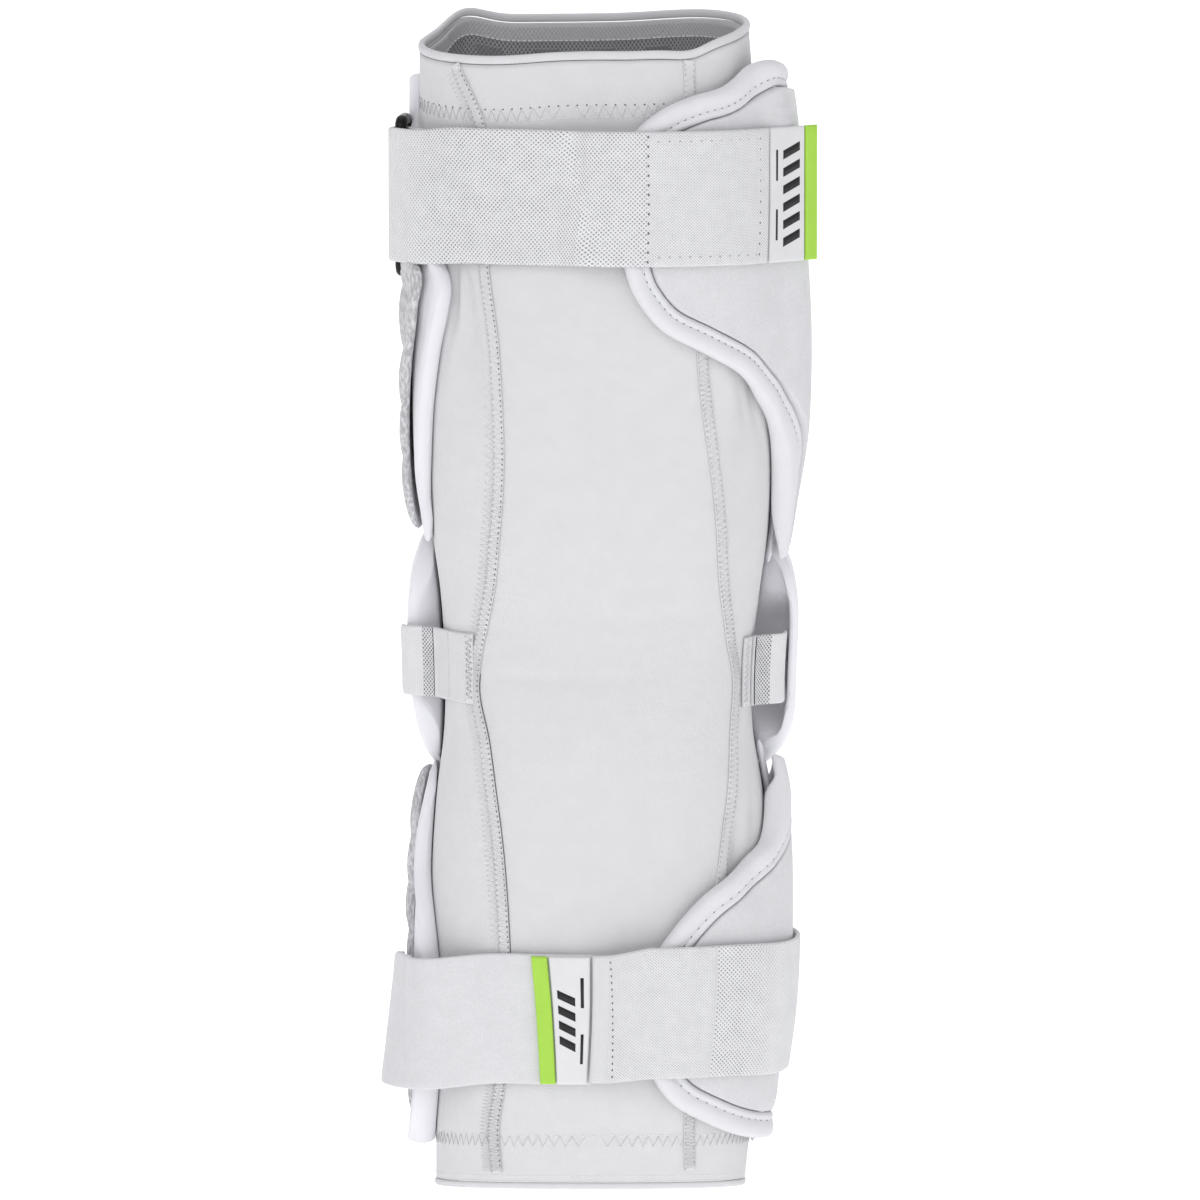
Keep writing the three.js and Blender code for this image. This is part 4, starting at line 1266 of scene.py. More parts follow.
    def row(self, name: str, lines: Sequence[tuple[Grid, Grid]], pitch: float,
            size: tuple[float, float, float], material: bpy.types.Material, slot: str) -> bpy.types.Object:
        """Row of beads.

        Args:
            name: the piece's name.
            lines: the rows.
            pitch: distance between beads.
            size: length, width and height of one.
            material: its finish.
            slot: material slot of the record.

        Returns:
            The piece.
        """
        values = {"Pitch": pitch * MM, "Size": [s * MM for s in size], "Material": material}
        return self.apply(name, self.bead_tree, lines, values, slot)

    def thread(self, name: str, lines: Sequence[tuple[Grid, Grid]], radius: float,
               material: bpy.types.Material, slot: str) -> bpy.types.Object:
        """Round thread along lines.

        Args:
            name: the piece's name.
            lines: the lines.
            radius: radius of the thread.
            material: its finish.
            slot: material slot of the record.

        Returns:
            The piece.
        """
        values = {"Radius": radius * MM, "Material": material}
        return self.apply(name, self.thread_tree, lines, values, slot)


class Piecework:
    """What every sub-assembly shares: the arm, the layers, materials and makers."""

    def __init__(self, layers: Layers, wardrobe: Wardrobe, tailor: Tailor, sewing: Sewing) -> None:
        """Keeps the shared parts.

        Args:
            layers: heights above the knit.
            wardrobe: materials.
            tailor: maker of pieces.
            sewing: maker of stitches.
        """
        self.layers, self.arm = layers, layers.arm
        self.wardrobe, self.tailor, self.sewing = wardrobe, tailor, sewing

    def line(self, turn: Grid, z: Grid, lift: Grid, gathered: bool = False) -> tuple[Grid, Grid]:
        """Line above the knit with its outward directions.

        Args:
            turn: degrees round the arm.
            z: heights.
            lift: lifts.
            gathered: whether it follows the narrow gathers.

        Returns:
            Points and directions.
        """
        turn, z = np.broadcast_arrays(np.asarray(turn, float), np.asarray(z, float))
        return self.arm.skin(turn, z, lift, gathered), self.arm.outward(turn, z)

    def zigzag(self, place: Place, steps: int, low: float, high: float,
               lift: Callable[[Grid, Grid], Grid]) -> tuple[Grid, Grid]:
        """Thread that swings from side to side of a route.

        Args:
            place: turn and height from a share along the route and a distance beside it.
            steps: number of swings.
            low: distance beside the route on one side.
            high: the same on the other side.
            lift: lift by turn and height.

        Returns:
            Points and directions.
        """
        share = np.linspace(0.004, 0.996, 2 * steps + 1)
        turn, z = place(share, np.where(np.arange(len(share)) % 2, low, high))
        return self.line(turn, z, lift(turn, z), True)

    def faces(self, turn: Grid, z: Grid, bottom: Grid, top: Grid, round_: Grid,
              gathered: bool = False) -> tuple[Grid, Grid]:
        """Two faces between two lifts, drawn together at the rounded edge.

        Args:
            turn: degrees round the arm.
            z: heights.
            bottom: lift of the inner face.
            top: lift of the outer face.
            round_: rounding of the edge.
            gathered: whether they follow the narrow gathers.

        Returns:
            Outer and inner points.
        """
        middle, half = (top + bottom) / 2, (top - bottom) / 2 * round_
        return (self.arm.skin(turn, z, middle + half, gathered),
                self.arm.skin(turn, z, middle - half, gathered))

    def slab(self, patch: Patch, place: Place, low: Callable[[Grid, Grid], Grid],
             high: Callable[[Grid, Grid], Grid], gathered: bool = False) -> tuple[Grid, Grid]:
        """Two faces of a flat piece that lies round the arm, with its edges rounded.

        Args:
            patch: its grid.
            place: turn and height from shares along and up.
            low: lift of its inner face by turn and height.
            high: lift of its outer face.
            gathered: whether it follows the narrow gathers.

        Returns:
            Outer and inner points.
        """
        u, v = patch.shares()
        turn, z = place(u, v)
        return self.faces(turn, z, low(turn, z), high(turn, z), patch.round(u, v), gathered)

    def ribbon(self, paths: Grid, thickness: Grid, patch: Patch) -> tuple[Grid, Grid]:
        """Two faces of an upright ribbon.

        Args:
            paths: its middle line in plan at each level, columns by rows by three.
            thickness: its thickness, for all or for each column.
            patch: its grid, for the rounding of its edges.

        Returns:
            Outer and inner points.
        """
        along = np.gradient(paths, axis=0)
        along[..., 2] = 0
        along /= np.linalg.norm(along, axis=-1, keepdims=True)
        out = np.stack([along[..., 1], -along[..., 0], np.zeros(paths.shape[:2])], -1)
        v = (paths[..., 2] - paths[:, :1, 2]) / (paths[:, -1:, 2] - paths[:, :1, 2])
        u = np.linspace(0, 1, len(paths))[:, None] * np.ones_like(v)
        half = np.reshape(thickness, (-1, 1)) / 2 * patch.round(u, v)
        return paths + out * half[..., None], paths - out * half[..., None]


class Sleeve(Piecework):
    """Knit tube with its bound cuff, hem, mesh lining and covered seams."""

    wall: float = 1.5
    seam_width: float = 4
    seam_length: float = 395

    def make(self) -> None:
        """Makes every piece of the sleeve."""
        self.tube()
        self.edges()
        self.lining()
        self.seams()
        self.rows()

    def tube(self) -> None:
        """Makes the knit tube."""
        turn, share = np.meshgrid(np.linspace(0, 360, 261)[:-1], np.linspace(0, 1, 241), indexing="ij")
        z = lerp(self.arm.hem(turn), self.arm.cuff(turn), share)
        outer, inner = (self.arm.skin(turn, z, lift, True) for lift in (0, -self.wall))
        piece = self.tailor.piece("sleeve_cloth", outer, inner, [self.wardrobe.knit], "knit", ["sleeve"],
                                  wrap=True)

    def edges(self) -> None:
        """Makes the rolled elastic on the cuff and the hem."""
        turn = np.linspace(0, 360, 241)[:-1]
        for name, node, foot, height in (
                ("cuff_roll", "cuff_binding", lambda t: self.arm.cuff(t) + 0.3, 3.0),
                ("hem_roll", "hem_band", lambda t: self.arm.hem(t) - 2.7, 2.4)):
            angle = np.linspace(0, math.pi, 13)
            faces = []
            for sign in (1, -1):
                rise = (1 - np.cos(angle)) / 2
                out = sign * 1.25 * np.maximum(np.sin(angle), 0.1) ** 0.6 - self.wall / 2
                ripple = 0.06 * np.sin(np.radians(turn) * 90)[:, None] * np.sin(angle)[None]
                t = np.broadcast_to(turn[:, None], (len(turn), len(angle)))
                z = foot(turn)[:, None] + height * rise[None]
                faces.append(self.arm.skin(t, z, out[None] + sign * ripple, True))
            self.tailor.piece(name, *faces, [self.wardrobe.band], "knit", [node], wrap=True)

    def lining(self) -> None:
        """Makes the mesh that shows inside the cuff."""
        turn, share = np.meshgrid(np.linspace(0, 360, 181)[:-1], np.linspace(0, 1, 41), indexing="ij")
        z = self.arm.cuff(turn) - 0.3 - (LINING_DEPTH - 0.3) * (1 - share)
        outer, inner = (self.arm.skin(turn, z, lift, True) for lift in (-2.6, -3.5))
        piece = self.tailor.piece("cuff_mesh", outer, inner, [self.wardrobe.lining], "mesh",
                                  ["cuff_lining"], wrap=True)
        turn = np.linspace(0, 360, 400)
        row = self.line(turn, self.arm.cuff(turn) - 6.4, -3.65, True)
        self.sewing.row("cuff_mesh_stitches", [row], 1.9, (1.75, 0.55, 0.35), self.wardrobe.thread, "mesh")

    def seams(self) -> None:
        """Makes the covered seams, their cross threads, dots of painted shade beside them and, on the left, a
        line of painted shadow along the tape's edge.
        """
        for name, table in SEAMS.items():
            route = Route(self.arm, table)
            patch = Patch(self.seam_width, self.seam_length, 5, 240, 0.5)
            place = lambda u, v, r=route: r.beside(1 - v, (u - 0.5) * self.seam_width)
            high = 0.95 if name == "left" else 0.75
            outer, inner = self.slab(patch, place, lambda t, z: 0.05 + 0 * z,
                                     lambda t, z, h=high: h + 0 * z, True)
            self.tailor.piece(name + "_seam_tape", outer, inner, [self.wardrobe.knit], "knit",
                              [name + "_seam"])
            beside = lambda share, distance, r=route: r.beside(share, distance)
            steps, reach = (215, 2.2) if name == "left" else (190, 1.9)
            threads = [self.zigzag(beside, steps, -reach, reach, lambda t, z, h=high: h + 0.02 + 0 * z)]
            self.sewing.thread(name + "_seam_threads", threads, 0.2, self.wardrobe.thread, "knit")
            # Two columns of dark dots beside the tape: painted shade of the needle holes.
            share = np.linspace(0.004, 0.996, 500)
            columns = [self.line(*route.beside(share, at), high, True) for at in (1.5, -1.5)]
            finishes = (self.wardrobe.painted_shade if name == "left" else self.wardrobe.faint_shade, self.wardrobe.faint_shade)
            for part, column, finish in zip(("dots", "faint_shade_dots"), columns, finishes):
                self.sewing.row(f"{name}_seam_{part}", [column], 1.9, (0.7, 0.55, 0.3), finish, "knit")
            if name == "left":
                ladder = [self.zigzag(beside, steps, -5.6, -1.8, lambda t, z: 0.04 + 0 * z)]
                self.sewing.thread("left_seam_ladder", ladder, 0.09, self.wardrobe.thread, "knit")
                # A dark thread along the tape's right edge over part of its length: painted shadow of the
                # tape on the knit.
                edge = np.linspace(0.5, 0.78, 200)
                shadow = [self.line(*route.beside(edge, self.seam_width / 2 + 0.1), 0.08, True)]
                self.sewing.thread("left_seam_edge_shadow", shadow, 0.16, self.wardrobe.painted_shade, "knit")

    def rows(self) -> None:
        """Makes the cover stitches below the cuff and above the hem, with a row of painted-shade dots below
        the cuff.
        """
        turn = np.linspace(0, 360, 720)
        cuff = self.line(turn, self.arm.cuff(turn) - 15.6, 0.02, True)
        cuff_low = self.line(turn, self.arm.cuff(turn) - 20.0, 0.02, True)
        hem = self.line(turn, self.arm.hem(turn) + 17.5, 0.02, True)
        # The row of dark dots below the cuff is painted shade of needle holes.
        self.sewing.row("edge_row_dots", [cuff], 3.4, (0.75, 0.6, 0.25), self.wardrobe.painted_shade, "knit")
        self.sewing.row("edge_row_dashes", [cuff_low, hem], 3.4, (2.3, 0.45, 0.35),
                        self.wardrobe.thread, "knit")
        ring = lambda edge, off: (lambda share, d: (360 * share, edge(360 * share) + off + d))
        flat = lambda t, z: 0.08 + 0 * z
        loops = [self.zigzag(ring(self.arm.cuff, -17.8), 95, -2.0, 2.0, flat),
                 self.zigzag(ring(self.arm.hem, 15.3), 95, -2.0, 2.0, flat)]
        self.sewing.thread("edge_row_loops", loops, 0.13, self.wardrobe.thread, "knit")
        low = [self.line(turn, self.arm.hem(turn) + 2.2, 0.02, True)]
        self.sewing.row("hem_row", low, 2.6, (1.7, 0.45, 0.35), self.wardrobe.thread, "knit")


class Padding(Piecework):
    """Pads round the back of the arm with their ribbed shells, and the foam under the cap."""

    filling: Filling = Filling()
    roll: float = 2.3
    roll_width: float = 6.5
    corner: float = 24
    behind_flap: float = 6
    ribs: int = 7

    def make(self) -> None:
        """Makes the pads, the shells and the elbow foam."""
        for side in Side:
            self.pad(side)
            self.shell(side)
        self.elbow()

    def place(self, side: Side, wing: Table, right: float, margin: float) -> Place:
        """Places on a pad, from its right edge round the back to its left edge.

        Args:
            side: which pad.
            wing: turn of its left edge.
            right: turn of its right edge.
            margin: distance inside the pad's ends.

        Returns:
            Turn and height from shares along and up.
        """
        layers = self.layers
        far = (layers.pad_top if side is Side.UPPER else layers.pad_foot) - margin

        def at(u: Grid, v: Grid) -> tuple[Grid, Grid]:
            near = layers.cap_edge(lerp(right, 360 - layers.pad_right, u)) + layers.soft_gap + margin / 2
            inside = np.clip((1 - u) * 170 / self.corner, 0, 1)
            near = near + self.corner * (1 - np.sqrt(1 - (1 - inside) ** 2))
            z = lerp(near, far, v) if side is Side.UPPER else -lerp(far, near, v)
            return lerp(right, 360 + wing.at(self.arm.share(z)), u), z

        return at

    def pad(self, side: Side) -> None:
        """Makes one fabric-covered pad with its rolled left edge.

        Args:
            side: which pad.
        """
        name, layers = side.value, self.layers
        place = self.place(side, WINGS[side], layers.pad_right + self.behind_flap, 0)
        patch = Patch(190, 150, 64, 44, 2.2)
        u, v = patch.shares()
        turn, z = place(u, v)
        round_ = patch.round(u, v)
        left = (1 - u) * patch.length
        bead = self.roll * np.exp(-((left - self.roll_width / 2) / self.roll_width * 2) ** 2)
        groove = 0.5 * np.exp(-((left - 1.6 * self.roll_width) / 1.6) ** 2)
        end = (v if side is Side.UPPER else 1 - v) * patch.height
        taper = lerp(lerp(0.5, 1, smoothstep(end, 0, 30)), 1, smoothstep(left, 14, 40))
        bottom = lerp(0.4, layers.pad_seat, smoothstep(np.minimum(left, u * patch.length), 2, 14))
        full = np.maximum(layers.pad_rise(turn, z) + bead - groove - 0.4, bottom + 1.2)
        top = bottom + 1.2 + (full - bottom - 1.2) * taper
        outer, inner = self.faces(turn, z, bottom, top, round_)
        piece = self.tailor.piece(name + "_pad_cover", outer, inner, [self.wardrobe.cover], "padding",
                                  [name + "_pad"])
        self.filling.swell(piece, round_ > 0.5)

    def shell(self, side: Side) -> None:
        """Makes one ribbed outer shell.

        Args:
            side: which pad it lies on.
        """
        name, layers = side.value, self.layers
        place = self.place(side, SHELL_WINGS[side], layers.flap_root + 5.4, 9)
        patch = Patch(150, 140, 90, 150, 1.6)
        u, v = patch.shares()
        turn, z = place(u, v)
        round_ = patch.round(u, v)
        wave = np.abs(np.sin(math.pi * v * self.ribs)) ** 0.6
        rows = np.random.default_rng(7).normal(0, 1, (9, 4))
        uneven = sum(r[0] * 0.12 * np.sin(r[1] * 2 + u * (3 + 2 * k) + v * r[2] * 9)
                     for k, r in enumerate(rows[:5]))
        channel = 0.55 * np.exp(-((np.mod(u * 5, 1) - 0.5) / 0.035) ** 2)
        bottom = layers.pad_rise(turn, z) + layers.soft_gap + 0.2
        top = bottom + 1.7 + 1.9 * wave + uneven - channel * wave
        outer, inner = self.faces(turn, z, bottom, top, round_)
        piece = self.tailor.piece(name + "_ribbed_shell", outer, inner, [self.wardrobe.heather], "ribbed",
                                  [name + "_shell"])

    def elbow(self) -> None:
        """Makes the foam between the sleeve and the cap."""
        layers = self.layers
        patch = Patch(100, 90, 26, 22, 3)

        def place(u: Grid, v: Grid) -> tuple[Grid, Grid]:
            turn = lerp(132, 228, u)
            return turn, (2 * v - 1) * layers.cap_edge(turn) * 0.8

        outer, inner = self.slab(patch, place, lambda t, z: layers.pad_seat + 0 * z,
                                 lambda t, z: layers.cap_rise(t, z) - layers.cap_wall - 1.2)
        piece = self.tailor.piece("elbow_foam", outer, inner, [self.wardrobe.brushed], "padding",
                                  ["elbow_pad"])


class Flaps(Piecework):
    """Tongues that wrap in from the right, each with a sewn rolled binding."""

    filling: Filling = Filling(limit=0.6)
    thickness: float = 4.0
    extra: float = 1.0
    binding: float = 9.5
    stitch_at: float = 0.68

    def make(self) -> None:
        """Makes both flaps."""
        for side in Side:
            self.flap(side)
            self.edge(side)

    def depth(self, share: Grid) -> Grid:
        """Thickness along the edge, thinner towards its ends, most of all the last.

        Args:
            share: share along the free edge.

        Returns:
            Thicknesses.
        """
        return self.thickness * (0.65 + 0.35 * smoothstep(np.minimum(share + 0.1, 1 - share), 0, 0.14))

    def flap(self, side: Side) -> None:
        """Makes the padded body of one flap.

        Args:
            side: which flap.
        """
        name, layers = side.value, self.layers
        route = Route(self.arm, FLAP_EDGES[side])
        near = float(layers.cap_edge(layers.flap_root)) + 4.5
        far = (layers.pad_top if side is Side.UPPER else layers.pad_foot) - 4.5
        top_root, foot_root = (far, near) if side is Side.UPPER else (-near, -far)
        patch = Patch(90, 190, 34, 60, 1.4)
        u, v = patch.shares()
        turn, z = route.beside(1 - v, self.binding + 0.2)
        turn, z = lerp(turn, layers.flap_root, u), lerp(z, lerp(top_root, foot_root, 1 - v), u)
        round_ = patch.round(u, v)
        bottom = layers.flap_seat(turn, z)
        bulge = 2.2 * smoothstep(turn, 62, 84) if side is Side.UPPER else 0.0
        top = bottom + self.depth(1 - v) - 0.3 + bulge
        outer, inner = self.faces(turn, z, bottom, top, round_)
        piece = self.tailor.piece(name + "_flap_body", outer, inner, [self.wardrobe.brushed], "padding",
                                  [name + "_flap"])
        self.filling.swell(piece, round_ > 0.6)

    def edge(self, side: Side) -> None:
        """Makes the binding of one flap and its stitches, drawn as dots of painted shade.

        Args:
            side: which flap.
        """
        name, layers = side.value, self.layers
        route = Route(self.arm, FLAP_EDGES[side])
        patch = Patch(self.binding, 240, 22, 150, 1.5)
        u, v = patch.shares()
        turn, z = route.beside(1 - v, self.binding * u)
        round_ = patch.round(u, v)
        bottom = layers.flap_seat(turn, z)

        def height(share: Grid, across: Grid) -> Grid:
            roll = np.sin(math.pi * np.clip(across / self.stitch_at, 0, 1)) ** 0.7
            lip = np.sin(math.pi * np.clip((across - self.stitch_at) / (1 - self.stitch_at), 0, 1)) ** 0.7
            full = self.depth(share) + self.extra
            return full * (0.74 + 0.26 * np.where(across < self.stitch_at, roll, 0.35 * lip))

        top = bottom + height(1 - v, u)
        elbow = 1 - v if side is Side.UPPER else v
        bottom = lerp(bottom, 0.7, smoothstep(elbow, 0.7, 0.9) * (1 - smoothstep(turn, 81, 84.5)))
        outer, inner = self.faces(turn, z, bottom, top, round_)
        self.tailor.piece(name + "_flap_roll", outer, inner, [self.wardrobe.roll], "knit",
                          [name + "_flap_binding"])
        share = np.linspace(0.01, 0.99, 500)
        turn, z = route.beside(share, self.binding * self.stitch_at)
        lift = layers.flap_seat(turn, z) + height(share, np.full_like(share, self.stitch_at))
        row = [self.line(turn, z, lift)]
        # The dark stitch dots are painted shade of the needle holes.
        pitch = 2.9 if side is Side.UPPER else 4.0
        self.sewing.row(name + "_flap_stitch_dots", row, pitch, (1.15, 0.95, 0.35), self.wardrobe.painted_shade,
                        "knit")


class Cap(Piecework):
    """Moulded elbow cap with rounded wings, its two loops and their tabs."""

    corner: float = 14
    loop_width: float = WEBBING
    loop_thickness: float = 1.6
    left_middle: float = -3.2
    right_middle: float = -5.6
    grooves: tuple[float, float] = (4.0, 7.5)

    def make(self) -> None:
        """Makes the cap, the loops and the tabs."""
        self.shell()
        self.loop("left", -1, self.left_middle, 70)
        self.loop("right", 1, self.right_middle, 75)
        self.tab("left", -69.8, -50, self.left_middle)
        self.tab("right", 66, 74, self.right_middle)

    def shell(self) -> None:
        """Makes the cap."""
        layers = self.layers
        patch = Patch(190, 100, 130, 70, layers.cap_wall / 2)
        u, v = patch.shares()
        turn = lerp(layers.cap_turn, 360 - layers.cap_turn, u)
        front = np.minimum(u, 1 - u) * patch.length
        inside = np.clip(front / self.corner, 0, 1)
        cut = self.corner * (1 - np.sqrt(1 - (1 - inside) ** 2))
        edge = layers.cap_edge(turn)
        z = (2 * v - 1) * (edge - cut)
        top = layers.cap_rise(turn, z)
        dent = 0.35 * np.exp(-((np.abs(2 * v - 1) - 0.86) / 0.03) ** 2)
        for groove in self.grooves:
            dent = dent + 0.3 * np.exp(-((front - groove) / 0.6) ** 2)
        top = top - dent
        past_loop = lerp(14.0, 2.5, smoothstep(np.abs(z - self.right_middle), 13, 28))
        start = np.where(turn > 180, -3.0, past_loop)
        ridge = smoothstep(front - start, 0, 8) * (1 - smoothstep(front - start, 14, 24))
        bottom = lerp(top - layers.cap_wall, np.minimum(top - layers.cap_wall, 1.7), ridge)
        bottom = np.maximum(bottom, layers.soft_gap + top * 0.04)
        outer, inner = self.faces(turn, z, bottom, top, patch.round(u, v))
        self.tailor.piece("cap_shell", outer, inner, [self.wardrobe.cap], "cap", ["elbow_cap"])

    def loop(self, name: str, side: int, middle: float, tab_turn: float) -> None:
        """Makes one elastic loop from its tab to the cap, with a painted shadow line at the tab's end.

        Args:
            name: which loop.
            side: 1 at the right, -1 at the left.
            middle: height of its middle line.
            tab_turn: turn where it leaves the tab.
        """
        layers, half = self.layers, self.loop_thickness / 2
        end = layers.cap_turn

        def face(turn: float) -> float:
            rise = float(layers.cap_rise(np.array(side * turn), np.array(middle)))
            return rise + (0.6 + half if side < 0 else -layers.cap_wall - layers.soft_gap - half)

        edge = face(end)
        if side < 0:
            stops = [(tab_turn, 0.1 + half), (77, 0.6 + half), (83, 1.8 + half), (86.5, edge * 0.42),
                     (89, edge * 0.8), (91, edge)]
        else:
            stops = [(tab_turn, 0.4 + half), (tab_turn + 4, 1.9 + half), (end - 10, edge * 0.45),
                     (end - 7, edge * 0.85), (end - 4, edge)]
        stops += [(end + more, face(end + more)) for more in (2, 7, 12)]
        keys = np.arange(len(stops), dtype=float)
        turns, lifts = (Table(list(zip(keys, column))) for column in zip(*stops))
        along = np.linspace(0, keys[-1], 71)
        patch = Patch(40, self.loop_width, 50, 20, 0.8)
        v = patch.shares()[1][0]
        level = middle + self.loop_width * (v - 0.5)
        turn, z = np.meshgrid(side * turns.at(along), level, indexing="ij")
        z = middle + (z - middle) * (1 - 0.15 * smoothstep(np.abs(turn), end, end + 7))
        lift = np.broadcast_to(lifts.at(along)[:, None], turn.shape)
        paths = self.arm.skin(turn, z, lift)
        outer, inner = self.ribbon(paths, self.loop_thickness, patch)
        if side < 0:
            outer, inner = inner, outer
        sewn, plain = (84.0, 63.0) if side < 0 else (76.0, 60.5)
        across = turns.at(along)
        zone = np.where(across[:-1] < sewn, 0, np.where(np.abs(paths[:-1, 0, 0]) < plain, 1, 2))
        finishes = [self.wardrobe.band, self.wardrobe.webbing, self.wardrobe.rib]
        self.tailor.piece(name + "_loop_webbing", outer, inner, finishes, "elastic",
                          [name + "_elbow_loop"], zone=zone)
        # A dark thread in the print material where the loop leaves the tab: painted shadow in the gap between
        # them.
        height = middle + np.linspace(-12.2, 12.2, 30)
        above = float(np.interp(sewn, across, lifts.at(along))) + half
        gap = [self.line(np.full(30, side * sewn), height, above)]
        self.sewing.thread(name + "_loop_gap_shadow", gap, 0.3, self.wardrobe.ink, "elastic")

    def tab(self, name: str, start: float, end: float, middle: float) -> None:
        """Makes one tab sewn beside a seam, with its zigzag and painted shade along it.

        Args:
            name: which tab.
            start: turn of its left edge.
            end: turn of its right edge.
            middle: height of its middle line.
        """
        length = abs(end - start) * 0.95
        patch = Patch(length, self.loop_width, 10, 24, 0.7)
        place = lambda u, v: (lerp(start, end, u), middle + self.loop_width * (v - 0.5))
        outer, inner = self.slab(patch, place, lambda t, z: 0.15 + 0 * z, lambda t, z: 1.5 + 0 * z, True)
        self.tailor.piece(name + "_tab_patch", outer, inner, [self.wardrobe.band], "knit",
                          [name + "_elbow_tab"])
        inner_turn, sign = (end - 2.5, -1) if name == "left" else (start + 2.5, 1)
        column = lambda share, d: (inner_turn + sign * d + 0 * share,
                                   middle + (self.loop_width - 2.4) * (0.5 - share))
        flat = lambda t, z: 1.55 + 0 * z
        rows = [self.zigzag(column, 11, -1.9, 1.9, flat)]
        # Dark dashes along the zigzag are painted shade of the raised thread, fainter on the right tab.
        self.sewing.row(name + "_tab_zigzag_shade", rows, 1.5, (0.95, 0.4, 0.3),
                        self.wardrobe.painted_shade if name == "left" else self.wardrobe.faint_shade, "knit")
        self.sewing.thread(name + "_tab_zigzag", rows, 0.34, self.wardrobe.thread, "knit")


@dataclass(frozen=True)
class PullEnd:
    """Free end of a strap, laid out by its distance from the elastic and its height."""

    name: str
    place: Callable[[Grid, Grid, Grid], Grid]
    with_turn: bool
    middle: float
    height: float
    tab: tuple[float, float]
    tip: tuple[float, float]
    bar_step: float
    bar_count: int


